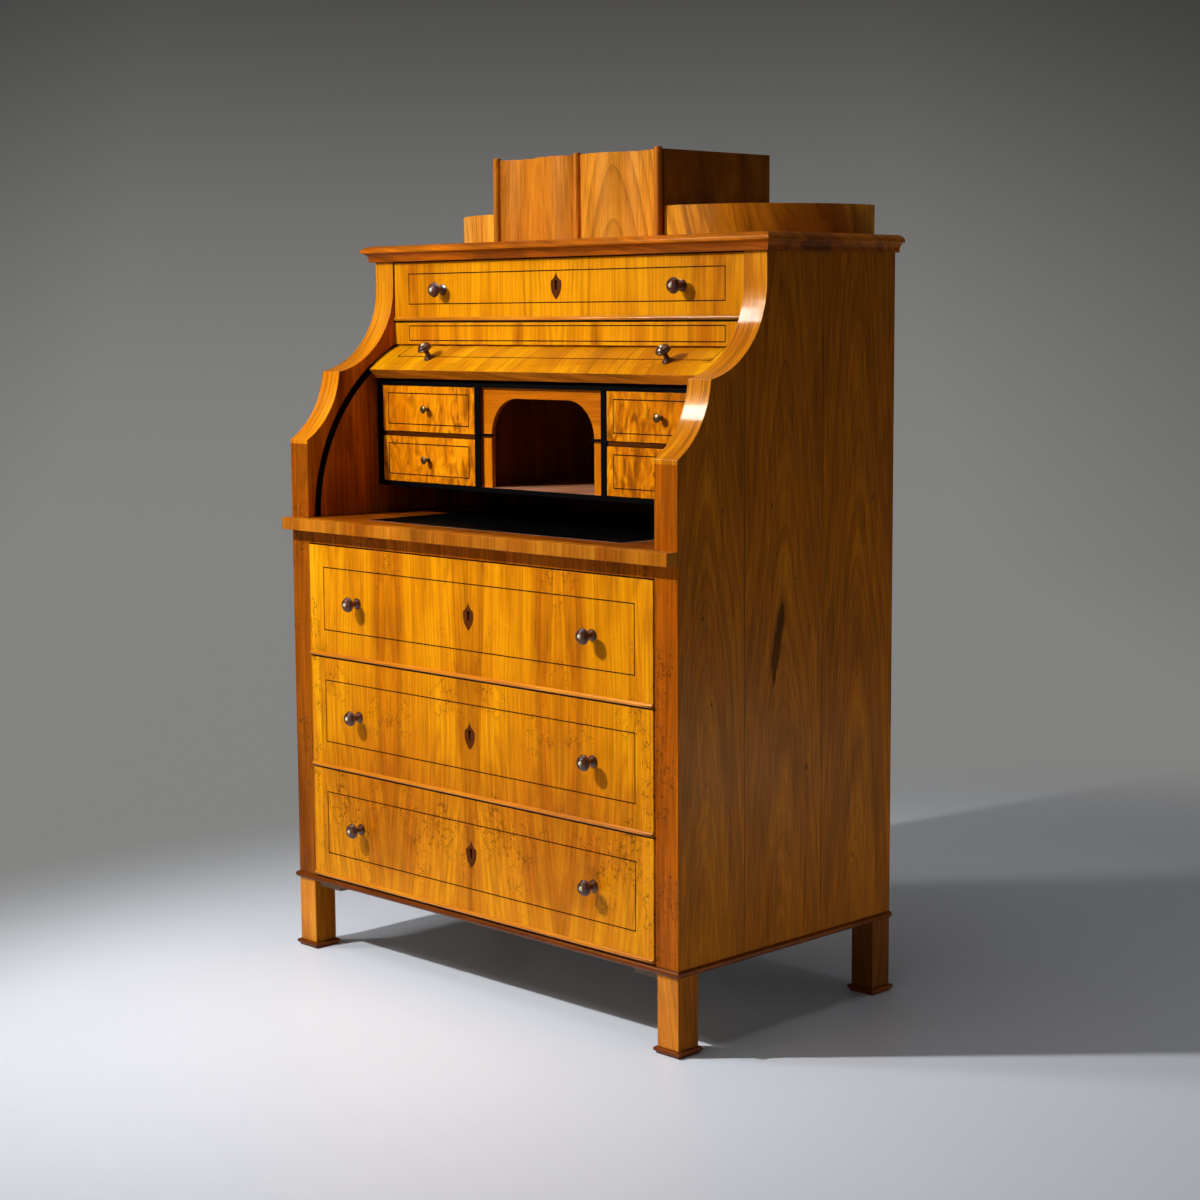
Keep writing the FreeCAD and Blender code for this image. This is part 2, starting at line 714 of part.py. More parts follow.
# A large drawer: moulded front, box of boards, two knobs, shield and lock.
def large_drawer(name, face, floor, height, lap, end):
    body = new_body(f"{name}_front")
    profile = new_sketch(body, f"{name}_profile", "YZ_Plane")
    nose = ("-bead_reach", "bead_height / 2")
    bead_radius = "bead_height^2 / (8 * bead_reach) + bead_reach / 2"
    outline(profile, [
        ("front_thickness", "0"), ("front_thickness", height), ("0", height), ("0", "bead_height"),
        nose, ("0", "0"),
    ], {3: (bead_radius, "left"), 4: (bead_radius, "left")})
    pad(body, profile, "2 * drawer_half")

    knob_level = f"({height} / 2 + knob_above_middle)"
    key_level = f"({height} / 2 + keyhole_above_middle)"
    holes = new_sketch(body, f"{name}_holes", "XZ_Plane", ("drawer_half", "0", "0"))
    for sign in ("-", ""):
        disc(holes, f"{sign}knob_spacing / 2", knob_level, "tenon_diameter / 2 + tenon_clearance")
    keyhole_outline(holes, key_level)
    pocket(body, holes)
    seat = new_sketch(body, f"{name}_seat", "XZ_Plane", ("drawer_half", "0", "0"))
    shield_outline(seat, key_level)
    pocket(body, seat, "shield_inset")
    place(body, "-drawer_half", face, floor)
    keep(body)

    inside = "drawer_half - box_board"
    box_front = f"{face} + front_thickness"
    low = f"{floor} - drawer_gap + run_clearance"
    high = f"{floor} + {height} - ({lap})"
    bottom_top = f"{low} + box_bottom_rise + box_bottom"
    boards = [board(f"{name}_{hand}", on_side(sign, inside, "drawer_half"), (box_front, end), (low, high))
              for hand, sign in (("left", -1), ("right", 1))]
    boards.append(board(f"{name}_bottom", across(inside), (box_front, end),
                        (f"{low} + box_bottom_rise", bottom_top)))
    boards.append(board(f"{name}_rear", across(inside), (f"{end} - box_board", end), (bottom_top, high)))
    keep(group(f"{name}_box", boards))

    knobs = []
    for hand, sign in (("left", "-"), ("right", "")):
        pull = knob(f"{name}_knob_{hand}", "knob", "tenon_diameter", "front_thickness")
        place(pull, f"{sign}knob_spacing / 2", face, f"{floor} + {knob_level}", "90")
        knobs.append(pull)
    keep(group(f"{name}_knobs", knobs))
    drawer_fittings(name, face, f"{floor} + {key_level}")


long_names = ("bottom_drawer", "middle_drawer", "upper_drawer")
for level, long_name in enumerate(long_names):
    large_drawer(long_name, "-drawer_proud", long_drawer_floor(level), "drawer_height",
                 "dust_thickness + drawer_gap", "back_inner - drawer_rear_gap")
large_drawer("top_drawer", "frieze_front", "(shelf_top + drawer_gap)", "top_drawer_height",
             "drawer_gap", "back_inner - drawer_rear_gap")


# Writing slide: board in the slots of the sides, overlapping lip and inset leather.
def writing_slide():
    body = new_body("slide_board")
    half = "inner_half + slide_tongue"
    plan = new_sketch(body, "slide_plan", "XY_Plane")
    rectangle(plan, across(half), ("-run_clearance", "slide_depth"))
    pad(body, plan, "slide_thickness")
    leather = across("leather_width / 2"), ("leather_setback", "leather_setback + leather_depth")
    recess = new_sketch(body, "slide_recess", "XY_Plane", ("0", "0", "slide_thickness"))
    rectangle(recess, *leather)
    pocket(body, recess, "leather_thickness")
    place(body, "0", "0", "slide_bottom")
    keep(body)
    keep(board("writing_leather", *leather, ("writing_height - leather_thickness", "writing_height")))
    keep(board("slide_lip", across("half_width"), ("-slide_overhang", "-run_clearance"),
               ("slide_bottom", "writing_height")))


writing_slide()


# Roll: curved panel whose ends run in the grooves, with a deeper leading rail and two knobs.
def roll_piece(name, half, inner, start_angle, end_angle):
    """A piece of the roll; angles are up from level at the front."""
    body = new_body(name)
    section = new_sketch(body, f"{name}_section", "XY_Plane")
    rectangle(section, across(half), (inner, "roll_radius"))
    turn_about(body, "Revolution", section, "H_Axis", f"{end_angle} - ({start_angle})")
    place(body, "0", "axis_depth", "axis_height", f"180 - ({end_angle})")
    return body


def roll():
    rail_end = "roll_open_angle + roll_rail_angle"
    panel = roll_piece("roll_board", "inner_half + groove_depth - roll_end_clearance", "roll_inner",
                       rail_end, "roll_rear_angle")
    drills = []
    knobs = []
    for hand, sign in (("left", "-"), ("right", "")):
        x = f"{sign}knob_spacing / 2"
        depth = "axis_depth - {} * cos(roll_knob_angle)"
        height = "axis_height + {} * sin(roll_knob_angle)"
        drill = doc.addObject("Part::Cylinder", f"roll_drill_{hand}")
        tie(drill, "Radius", "tenon_diameter / 2 + tenon_clearance")
        tie(drill, "Height", "2 * roll_thickness")
        place(drill, x, depth.format("roll_inner"), height.format("roll_inner"), "90 - roll_knob_angle")
        drills.append(drill)
        pull = knob(f"roll_knob_{hand}", "knob", "tenon_diameter", "roll_thickness")
        place(pull, x, depth.format("roll_radius"), height.format("roll_radius"), "90 - roll_knob_angle")
        knobs.append(pull)
    drilled = doc.addObject("Part::Cut", "roll_panel")
    drilled.Base = panel
    drilled.Tool = group("roll_drills", drills)
    keep(drilled)
    keep(roll_piece("roll_rail", "inner_half - roll_end_clearance", "roll_rail_inner",
                    "roll_open_angle", rail_end))
    keep(group("roll_knobs", knobs))


roll()


# Pigeonhole cabinet: boards with black facings, an arched niche and four small drawers.
def pigeonhole_cabinet():
    depth = ("cabinet_boards", "cabinet_back")
    between = ("cell_bottom", "cell_top")
    boards = [
        board("cabinet_floor", across("inner_half"), depth, ("cabinet_bottom", "cell_bottom")),
        board("cabinet_lid", across("inner_half"), depth, ("cell_top", "cabinet_top")),
        board("cabinet_rear", across("cell_outside"), ("cabinet_back - pigeonhole_back", "cabinet_back"),
              between),
    ]
    facing = ("cabinet_front", "cabinet_boards")
    facings = [
        board("facing_floor", across("inner_half"), facing, ("cabinet_bottom", "cell_bottom")),
        board("facing_lid", across("inner_half"), facing, ("cell_top", "cabinet_top")),
    ]
    partition_depth = ("cabinet_boards", "cabinet_back - pigeonhole_back")
    divider_low = "cell_bottom + cell_height"
    impost_low = "cell_bottom + impost_rise"
    for hand, sign in (("left", -1), ("right", 1)):
        end = on_side(sign, "cell_outside", "inner_half")
        partition = on_side(sign, "niche_half", "cell_inside")
        boards.append(board(f"cabinet_end_{hand}", end, depth, between))
        boards.append(board(f"partition_{hand}", partition, partition_depth, between))
        boards.append(board(f"divider_{hand}", on_side(sign, "cell_inside", "cell_outside"),
                            partition_depth, (divider_low, f"{divider_low} + divider_thickness")))
        facings.append(board(f"facing_end_{hand}", end, facing, between))
        facings.append(board(f"facing_partition_{hand}", partition, facing, between))
        facings.append(board(f"impost_{hand}", on_side(sign, "arch_width / 2 - impost_reach", "niche_half"),
                             ("cabinet_front + arch_recess - impost_reach", "cabinet_front + arch_recess"),
                             (impost_low, f"{impost_low} + impost_height")))
    keep(group("pigeonhole_boards", boards))
    keep(group("pigeonhole_facings", facings))


pigeonhole_cabinet()


def niche_arch():
    body = new_body("niche_arch")
    face = new_sketch(body, "arch_face", "XZ_Plane")
    half = "arch_width / 2"
    spring = "arch_height - arch_radius"
    crown = "arch_width / 2 - arch_radius"
    outline(face, [
        ("-niche_half", "0"), (f"-{half}", "0"), (f"-{half}", spring), (f"-({crown})", "arch_height"),
        (crown, "arch_height"), (half, spring), (half, "0"), ("niche_half", "0"),
        ("niche_half", "cell_top - cell_bottom"), ("-niche_half", "cell_top - cell_bottom"),
    ], {2: ("arch_radius", "right"), 4: ("arch_radius", "right")})
    pad(body, face, "arch_thickness", True)
    place(body, "0", "cabinet_front + arch_recess", "cell_bottom")
    keep(body)


niche_arch()


def small_drawer(name, sign, floor):
    face = "cabinet_front"
    height = "cell_height - 2 * small_gap"
    low = f"{floor} + small_gap"
    high = f"{low} + {height}"
    near = "cell_inside + small_gap"
    far = "cell_outside - small_gap"
    middle = "(cell_inside + cell_outside) / 2" if sign > 0 else "-(cell_inside + cell_outside) / 2"
    body = new_body(f"{name}_front")
    plan = new_sketch(body, f"{name}_face", "XZ_Plane")
    rectangle(plan, on_side(sign, near, far), ("0", height))
    disc(plan, middle, f"({height}) / 2", "small_tenon_diameter / 2 + tenon_clearance")
    pad(body, plan, "small_front", True)
    place(body, "0", face, low)
    keep(body)

    box_front = f"{face} + small_front"
    end = "cabinet_back - pigeonhole_back - drawer_rear_gap"
    run = f"{floor} + run_clearance"
    top = f"{high} - small_gap"
    inner = (f"{near} + small_board", f"{far} - small_board")
    keep(group(f"{name}_box", [
        board(f"{name}_near", on_side(sign, near, inner[0]), (box_front, end), (run, top)),
        board(f"{name}_far", on_side(sign, inner[1], far), (box_front, end), (run, top)),
        board(f"{name}_bottom", on_side(sign, *inner), (box_front, end), (run, f"{run} + small_bottom")),
        board(f"{name}_rear", on_side(sign, *inner), (f"{end} - small_board", end),
              (f"{run} + small_bottom", top)),
    ]))

    pull = knob(f"{name}_knob", "small_knob", "small_tenon_diameter", "small_front")
    place(pull, middle, face, f"{low} + ({height}) / 2", "90")
    keep(pull)


cell_floors = {
    "lower": "cell_bottom",
    "upper": "cell_bottom + cell_height + divider_thickness",
}
for row, cell_floor in cell_floors.items():
    for hand, sign in (("left", -1), ("right", 1)):
        small_drawer(f"{row}_{hand}_drawer", sign, cell_floor)


# Attic: box with serpentine front panels between three columns, and two curved wings.
def attic_case():
    sides_front = "attic_setback + column_diameter"
    inside = "attic_half - column_diameter"
    standing = ("cornice_top", "panel_top")
    boards = [board(f"attic_side_{hand}", on_side(sign, inside, "attic_half"),
                    (sides_front, "case_depth"), standing) for hand, sign in (("left", -1), ("right", 1))]
    boards.append(board("attic_rear", across(inside), ("case_depth - attic_board", "case_depth"), standing))
    boards.append(board("attic_lid", across(inside), ("panel_back", "case_depth - attic_board"),
                        ("panel_top - attic_board", "panel_top")))
    keep(group("attic_case", boards))


def attic_columns():
    columns = []
    for name, x, depth in (
            ("left", "-(attic_half - column_radius)", "column_line"),
            ("middle", "0", "column_line + middle_column_setback"),
            ("right", "attic_half - column_radius", "column_line")):
        column = doc.addObject("Part::Cylinder", f"column_{name}")
        tie(column, "Radius", "column_radius")
        tie(column, "Height", "attic_height")
        place(column, x, depth, "cornice_top")
        columns.append(column)
    keep(group("attic_columns", columns))


def attic_panels():
    body = new_body("attic_panel_right")
    plan = new_sketch(body, "panel_plan", "XY_Plane")
    inner = ("column_radius", "middle_column_setback")
    outer = ("attic_half - column_diameter", "0")
    turning = ("(attic_half - column_radius) / 2", "middle_column_setback / 2")
    outline(plan, [inner, turning, outer, (outer[0], "panel_thickness"), (inner[0], "panel_thickness")],
            {0: (bow(inner, turning, "panel_swell"), "left"),
             1: (bow(turning, outer, "panel_swell"), "right")})
    pad(body, plan, "panel_top - cornice_top")
    place(body, "0", "column_line", "cornice_top")
    keep(group("attic_panels", [body, mirrored("attic_panel_left", body)]))


def attic_wings():
    inner_radius = "(wing_radius - wing_wall)"

    def forward(radius):
        return f"wing_along - sqrt({radius}^2 - wing_offset^2)"

    def outward(radius):
        return f"wing_across + sqrt({radius}^2 - wing_inset^2)"

    wall = new_body("wing_wall_right")
    plan = new_sketch(wall, "wing_plan", "XY_Plane")
    outer_start = ("attic_half", forward("wing_radius"))
    outer_end = (outward("wing_radius"), "case_depth")
    inner_start = ("attic_half", forward(inner_radius))
    inner_end = (outward(inner_radius), "case_depth")
    outline(plan, [outer_start, outer_end, inner_end, inner_start],
            {0: ("wing_radius", "left"), 2: (inner_radius, "right")})
    pad(wall, plan, "wing_height")
    place(wall, "0", "0", "cornice_top")

    lid = new_body("wing_lid_right")
    plan = new_sketch(lid, "wing_lid_plan", "XY_Plane")
    outline(plan, [inner_start, inner_end, ("attic_half", "case_depth")], {0: (inner_radius, "left")})
    pad(lid, plan, "wing_top")
    place(lid, "0", "0", "cornice_top + wing_height - wing_top")
    keep(group("attic_wings", [wall, mirrored("wing_wall_left", wall), lid, mirrored("wing_lid_left", lid)]))


attic_case()
attic_columns()
attic_panels()
attic_wings()

doc.recompute()
failed = [item.Name for item in doc.Objects if {"Invalid", "Error"} & set(item.State)]
failed += [node.Name for node in nodes if node.Shape.isNull() or not node.Shape.isValid()]
if failed:
    raise RuntimeError(f"not built: {failed}")
os.makedirs("parts", exist_ok=True)
for node in nodes:
    node.Shape.exportStep(f"parts/{node.Label}.step")
print(f"{len(nodes)} sub-parts, {sum(len(node.Shape.Solids) for node in nodes)} solids")
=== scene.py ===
import json
import math
import random

import bmesh
import bpy
from mathutils import Matrix, Vector


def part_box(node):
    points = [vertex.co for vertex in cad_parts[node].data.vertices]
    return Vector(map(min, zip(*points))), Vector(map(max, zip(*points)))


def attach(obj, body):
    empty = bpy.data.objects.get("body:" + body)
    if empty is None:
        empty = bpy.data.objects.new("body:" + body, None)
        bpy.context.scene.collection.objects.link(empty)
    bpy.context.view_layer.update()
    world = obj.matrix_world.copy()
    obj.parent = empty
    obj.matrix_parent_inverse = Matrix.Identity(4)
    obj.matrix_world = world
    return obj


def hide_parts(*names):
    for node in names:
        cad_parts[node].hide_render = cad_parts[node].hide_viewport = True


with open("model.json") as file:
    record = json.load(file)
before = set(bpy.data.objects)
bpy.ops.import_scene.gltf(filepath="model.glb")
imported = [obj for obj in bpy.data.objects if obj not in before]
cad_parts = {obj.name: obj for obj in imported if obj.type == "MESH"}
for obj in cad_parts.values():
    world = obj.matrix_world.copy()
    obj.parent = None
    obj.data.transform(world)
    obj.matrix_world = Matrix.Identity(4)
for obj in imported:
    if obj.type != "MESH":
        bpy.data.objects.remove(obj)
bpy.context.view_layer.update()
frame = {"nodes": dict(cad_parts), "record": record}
nodes = frame["nodes"]
bodyOf = {node: body for body, names in frame["record"]["behaviour"]["bodies"].items() for node in names}
slotOf = {row["node"]: row["material_slot"] for row in frame["record"]["subparts"]}
scene = bpy.context.scene
print("desk loaded:", len(nodes), "nodes")

# metres: the front plane and the outer face of the case, and the axis, radius and rest angle of the roll
desk = {"frontY": -0.24375, "sideX": 0.4725, "axisY": 0.10395, "axisZ": 0.7804, "rollRadius": 0.33, "openAngle": 51.3}
longDrawers = ("bottom_drawer", "middle_drawer", "upper_drawer")
smallDrawers = [f"{row}_{hand}_drawer" for row in ("lower", "upper") for hand in ("left", "right")]


# Camera

cameraView = {"place": (2.84506, -2.73902, 1.13106), "azimuth": 45.48382, "elevation": 6.99084, "roll": -0.35733,
              "lens": 69.5923, "sensor": 36}


def makeCamera(view):
    az, el, roll = (math.radians(view[key]) for key in ("azimuth", "elevation", "roll"))
    back = Vector((math.sin(az) * math.cos(el), -math.cos(az) * math.cos(el), math.sin(el)))
    right = Vector((math.cos(az), math.sin(az), 0))
    up = back.cross(right)
    c, s = math.cos(roll), math.sin(roll)
    turn = Matrix((c * right + s * up, c * up - s * right, back)).transposed()
    data = bpy.data.cameras.new("camera")
    data.lens = view["lens"]
    data.sensor_width = view["sensor"]
    camera = bpy.data.objects.new("camera", data)
    camera.matrix_world = Matrix.Translation(view["place"]) @ turn.to_4x4()
    scene.collection.objects.link(camera)
    scene.camera = camera


makeCamera(cameraView)
print("camera set")


# Node trees: each method adds a node and gives back the socket to go on from

class Tree:
    def __init__(self, name):
        self.material = bpy.data.materials.new(name)
        self.material.use_nodes = True
        self.tree = self.material.node_tree
        self.tree.nodes.clear()
        self.out = self.add("ShaderNodeOutputMaterial")
        self.shader = self.add("ShaderNodeBsdfPrincipled")
        self.link(self.shader.outputs[0], self.out.inputs["Surface"])

    def add(self, kind, **settings):
        node = self.tree.nodes.new(kind)
        for key, value in settings.items():
            setattr(node, key, value)
        return node

    def link(self, source, target):
        self.tree.links.new(source, target)

    def put(self, socket, value):
        if isinstance(value, bpy.types.NodeSocket):
            self.link(value, socket)
        else:
            socket.default_value = value

    def fill(self, node, values, output=0):
        for socket, value in zip(node.inputs, values):
            self.put(socket, value)
        return node.outputs[output]

    def feed(self, name, value):
        self.put(self.shader.inputs[name], value)

    def place(self):
        return self.add("ShaderNodeTexCoord").outputs["Object"]

    def attribute(self, name, output):
        return self.add("ShaderNodeAttribute", attribute_name=name).outputs[output]

    def parts(self, vector):
        node = self.add("ShaderNodeSeparateXYZ")
        self.link(vector, node.inputs[0])
        return node.outputs

    def join(self, *values):
        return self.fill(self.add("ShaderNodeCombineXYZ"), values)

    def math(self, operation, *values, clamp=False):
        return self.fill(self.add("ShaderNodeMath", operation=operation, use_clamp=clamp), values)

    def times(self, first, second):
        return self.math("MULTIPLY", first, second)

    def scale(self, value, factor, more, clamp=False):
        return self.math("MULTIPLY_ADD", value, factor, more, clamp=clamp)

    def vector(self, operation, *values):
        output = "Value" if operation in ("DOT_PRODUCT", "LENGTH") else "Vector"
        return self.fill(self.add("ShaderNodeVectorMath", operation=operation), values, output)

    def stretch(self, vector, x, y, z):
        return self.vector("MULTIPLY", vector, (x, y, z))

    def noise(self, vector, scale, detail=3.0, rough=0.5, distortion=0.0, colour=False):
        # a scale of three numbers stretches the noise
        if isinstance(scale, tuple):
            vector, scale = self.stretch(vector, *scale), 1.0
        node = self.add("ShaderNodeTexNoise")
        names = ("Vector", "Scale", "Detail", "Roughness", "Distortion")
        for name, value in zip(names, (vector, scale, detail, rough, distortion)):
            self.put(node.inputs[name], value)
        return node.outputs["Color" if colour else "Fac"]

    def cells(self, vector, scale, feature="DISTANCE_TO_EDGE"):
        node = self.add("ShaderNodeTexVoronoi", feature=feature)
        self.put(node.inputs["Vector"], vector)
        self.put(node.inputs["Scale"], scale)
        return node.outputs["Distance"]

    def ramp(self, value, *stops, smooth=False):
        node = self.add("ShaderNodeValToRGB")
        node.color_ramp.interpolation = "EASE" if smooth else "LINEAR"
        items = node.color_ramp.elements
        while len(items) < len(stops):
            items.new(0.5)
        for item, (place, shade) in zip(items, stops):
            item.position = place
            item.color = (*shade, 1) if isinstance(shade, tuple) else (shade, shade, shade, 1)
        self.link(value, node.inputs[0])
        return node.outputs["Color"]

    def rise(self, value, low, high):
        return self.ramp(value, (low, 0.0), (high, 1.0))

    def mix(self, amount, first, second, blend="MIX"):
        node = self.add("ShaderNodeMix", data_type="RGBA", blend_type=blend, clamp_factor=True)
        colours = [(*item, 1) if isinstance(item, tuple) else item for item in (first, second)]
        for index, value in zip((0, 6, 7), (amount, *colours)):
            self.put(node.inputs[index], value)
        return node.outputs[2]

    def bump(self, height, distance):
        node = self.add("ShaderNodeBump")
        node.inputs["Distance"].default_value = distance
        self.link(height, node.inputs["Height"])
        self.feed("Normal", node.outputs[0])


# Polished wood. The grain attribute holds a point's place in the log it was cut from, in metres:
# x and y across the log, from the pith, and z along it. The heart attribute is the distance from a dark flame.

def woodFinish(name, look):
    t = Tree(name)
    sawn = "ringWide" in look  # a plain sawn board: straight fibres, crossed by the arches of the rings

    def lay(colour, mask, amount, paint):
        return t.mix(t.times(mask, amount), colour, look[paint])

    log = t.attribute("grain", "Vector")
    bent = log
    for scale, amount in (((5, 5, 1.7), "wander"), ((32, 32, 11), "quiver")):
        shift = t.vector("SUBTRACT", t.noise(log, scale, detail=2, colour=True), (0.5, 0.5, 0.5))
        bent = t.vector("ADD", bent, t.vector("MULTIPLY", shift, (look[amount],) * 3))
    across = t.vector("LENGTH", t.stretch(bent, 1, 1, 0))
    along, flat = t.parts(log), t.parts(bent)
    grain = t.join(flat[0] if sawn else across, along[1], along[2])

    # broad tone, from chance or from the leaf's own pattern
    if sawn:
        # the rings of a tapering trunk: pointed arches on a flat board
        core = t.math("SQRT", t.scale(flat[0], flat[0], look["ringRound"] ** 2))
        ringPlace = t.math("ADD", core, flat[1])
        figure = t.noise(t.join(ringPlace, flat[0], along[2]), (look["figure"], 3, 0.7))
    else:
        ringPlace = across
        figure = t.noise(grain, (15, 2, 0.8))
    if "leaf" in look:
        mark = t.scale(t.math("SUBTRACT", figure, 0.5), 0.09, across)
        tone = t.ramp(t.math("DIVIDE", mark, 0.3), *look["leaf"])
        tone = t.mix(0.3, tone, t.rise(t.noise(grain, (34, 2, 1.4)), 0.4, 0.6))
    else:
        tone = t.rise(figure, 0.38, 0.62)
    colour = t.mix(tone, look["mid"], look["pale"])
    blush = t.rise(t.noise(grain, (9, 4, 3.2), detail=2), 0.45, 0.7)
    colour = lay(colour, blush, 0.4, "red")

    # growth rings, each with its own depth, and dark streaks
    phase = t.scale(ringPlace, look["rings"], t.times(t.noise(grain, (45, 4, 1.5)), look["waver"]))
    part = t.math("FRACT", phase)
    each = t.add("ShaderNodeTexWhiteNoise", noise_dimensions="1D")
    t.link(t.math("FLOOR", phase), each.inputs["W"])
    if sawn:
        # dark lines of even width, also where the rings lie flat in the board
        share = t.math("DIVIDE", flat[0], core)
        lean = t.math("SQRT", t.scale(share, share, look["ringLean"] ** 2))
        gap = t.math("DIVIDE", t.math("SUBTRACT", 1.0, part), t.times(lean, look["rings"] * look["ringWide"]))
        ring = t.times(t.ramp(gap, (0.0, 1.0), (0.12, 0.6), (1.0, 0.0)), t.ramp(lean, (0.2, 1.0), (0.9, 0.75)))
    else:
        ring = t.ramp(part, (0.0, 0.0), (look["ringFrom"], 0.06), (0.93, 1.0), (1.0, 0.0))
    fade = t.ramp(t.noise(grain, (22, 3, 2.2)), (0.35, 0.5 if sawn else 0.1), (0.65, 1.0))
    depth = t.scale(each.outputs["Value"], 1 - look["ringEven"], look["ringEven"])
    colour = lay(colour, t.times(t.times(ring, depth), fade), look["ringDepth"], "dark")
    streak = t.rise(t.noise(grain, (60, 3, 1.1), detail=4, rough=0.55), look["streakFrom"], 0.76)
    colour = lay(colour, streak, look["streakDepth"], "streak")

    # thin sharp lines along the grain
    line = t.ramp(t.noise(grain, (look["lineSize"], 10, 3.2), detail=2), (0.41, 0.0), (0.5, 1.0), (0.59, 0.0))
    line = t.times(line, t.ramp(t.noise(grain, (20, 3, 3)), (0.42, 0.15), (0.6, 1.0)))
    colour = lay(colour, line, look["lines"], "streak")

    # soft brown patches, like smoke
    size = look["smokeSize"]
    smoke = t.noise(bent, (15 / size, 6 / size, 4.5 / size), detail=5, distortion=0.7)
    smoke = t.ramp(smoke, (0.5, 0.0), (0.66, 1.0), smooth=True)
    colour = lay(colour, smoke, look["smoke"], "dark")

    # a dark tongue down the middle of the fronts, where the heart attribute is small
    half = t.times(t.math("SQRT", t.math("MAXIMUM", along[2], 0.0)), 0.053)
    heart = t.math("SUBTRACT", t.attribute("heart", "Fac"), half)
    heart = t.scale(t.math("SUBTRACT", t.noise(log, (60, 8, 7)), 0.5), 0.012, heart)
    flame = t.ramp(t.scale(heart, 10.0, 0.5), (0.0, 0.6), (0.3, 0.7), (0.47, 0.8), (0.51, 1.0), (0.54, 0.3), (0.6, 0.0))
    flame = t.times(flame, t.ramp(t.noise(log, (110, 10, 3)), (0.3, 0.5), (0.7, 1.0)))
    colour = lay(colour, flame, 0.8, "dark")

    # cloudy figure, fibres and pores
    cloud = t.ramp(t.noise(log, (30, 30, 14)), (0.3, look["dark"]), (0.7, look["pale"]))
    colour = t.mix(look["cloud"], colour, cloud, "SOFT_LIGHT")
    if "swirl" in look:
        swirl = t.noise(log, (44, 44, 17), detail=5, distortion=1.7)
        where = t.times(t.ramp(t.noise(log, (15, 15, 9), detail=2), (0.4, 0.45), (0.54, 1.0)), look["swirl"])
        colour = lay(colour, t.ramp(swirl, (0.38, 1.0), (0.5, 0.0)), where, "dark")
        colour = lay(colour, t.rise(swirl, 0.54, 0.64), where, "pale")
    fibre = t.noise(grain, (700, 70, 9), rough=0.6)
    colour = t.mix(look["fibre"], colour, t.ramp(fibre, (0.34, 0.1), (0.66, 0.9)), "OVERLAY")
    fine = t.noise(grain, (240, 26, 6))
    colour = t.mix(look["fine"], colour, t.ramp(fine, (0.36, 0.1), (0.64, 0.9)), "OVERLAY")
    pore = t.ramp(t.noise(grain, (1500, 200, 42), detail=1), (0.3, 1.0), (0.4, 0.0))
    colour = lay(colour, pore, look["pores"], "streak")

    # fine crackle of the old polish, in patches, and a few worm holes
    knock = t.vector("MULTIPLY", t.noise(log, (95, 95, 95), detail=2, colour=True), (0.014,) * 3)
    squat = t.stretch(log, 1, 1, 0.6)
    thin = t.ramp(t.cells(t.vector("ADD", squat, knock), 105), (0.0, 1.0), (0.025, 0.85), (0.05, 0.0))
    broken = t.rise(t.noise(log, 70, detail=2), 0.46, 0.52)
    patch = t.rise(t.noise(log, 9, detail=4), look["crackleFrom"], look["crackleFrom"] + 0.08)
    worm = t.ramp(t.cells(squat, 34, "F1"), (0.025, 1.0), (0.05, 0.0))
    worm = t.times(worm, t.rise(t.noise(log, 17, detail=1), 0.5, 0.56))
    marks = t.math("MAXIMUM", t.times(t.times(thin, broken), patch), worm)
    if "knots" in look:
        place = t.place()
        gaps = []
        for y, z, wide, tall in look["knots"]:
            gap = t.vector("SUBTRACT", place, (desk["sideX"], y + desk["frontY"], z))
            gaps.append(t.vector("LENGTH", t.stretch(gap, 3, 1 / wide, 1 / tall)))
        while len(gaps) > 1:
            gaps.append(t.math("MINIMUM", gaps.pop(0), gaps.pop(0)))
        near = t.math("ADD", t.times(t.noise(place, 200), 0.5), gaps[0])
        marks = t.math("MAXIMUM", marks, t.ramp(near, (0.75, 1.0), (1.0, 0.0)))
    t.feed("Base Color", lay(colour, marks, 0.75, "mark"))

    # shellac: even gloss, a little duller in the pores and where hands have rubbed it
    rub = t.noise(log, 16, detail=4)
    gloss = t.scale(rub, 0.14, t.scale(fibre, 0.1, look["rough"] - 0.1))
    t.feed("Roughness", t.scale(marks, 0.25, gloss, clamp=True))
    t.feed("Coat Weight", look["coat"])
    t.feed("Coat Roughness", look["coatRough"])
    t.feed("Specular IOR Level", look["shine"])
    t.feed("Specular Tint", (*look["glow"], 1))
    low = t.scale(marks, 0.9, t.times(pore, 0.3))
    t.bump(t.math("SUBTRACT", t.scale(fibre, 0.5, t.times(rub, 0.6)), low), look["relief"])
    return t.material


# what every wood starts from: colours, then how strong each part of the figure is
cherry = dict(pale=(0.78, 0.355, 0.002), mid=(0.48, 0.165, 0.001), red=(0.48, 0.135, 0.002), dark=(0.26, 0.07, 0.001),
              streak=(0.2, 0.05, 0.001), mark=(0.06, 0.014, 0.001), wander=0.03, quiver=0.003, rings=105.0,
              ringFrom=0.6, ringDepth=0.3, streakFrom=0.56, streakDepth=0.55, smoke=0.25, smokeSize=1.0, cloud=0.3,
              fibre=0.22, fine=0.16, pores=0.2, crackleFrom=0.9, rough=0.34, coat=0.02, coatRough=0.12, shine=0.17,
              glow=(1.0, 0.55, 0.04), relief=0.0002, waver=2.2, ringEven=0.2, ringRound=0.012, figure=90.0,
              lineSize=150.0, lines=0.18)

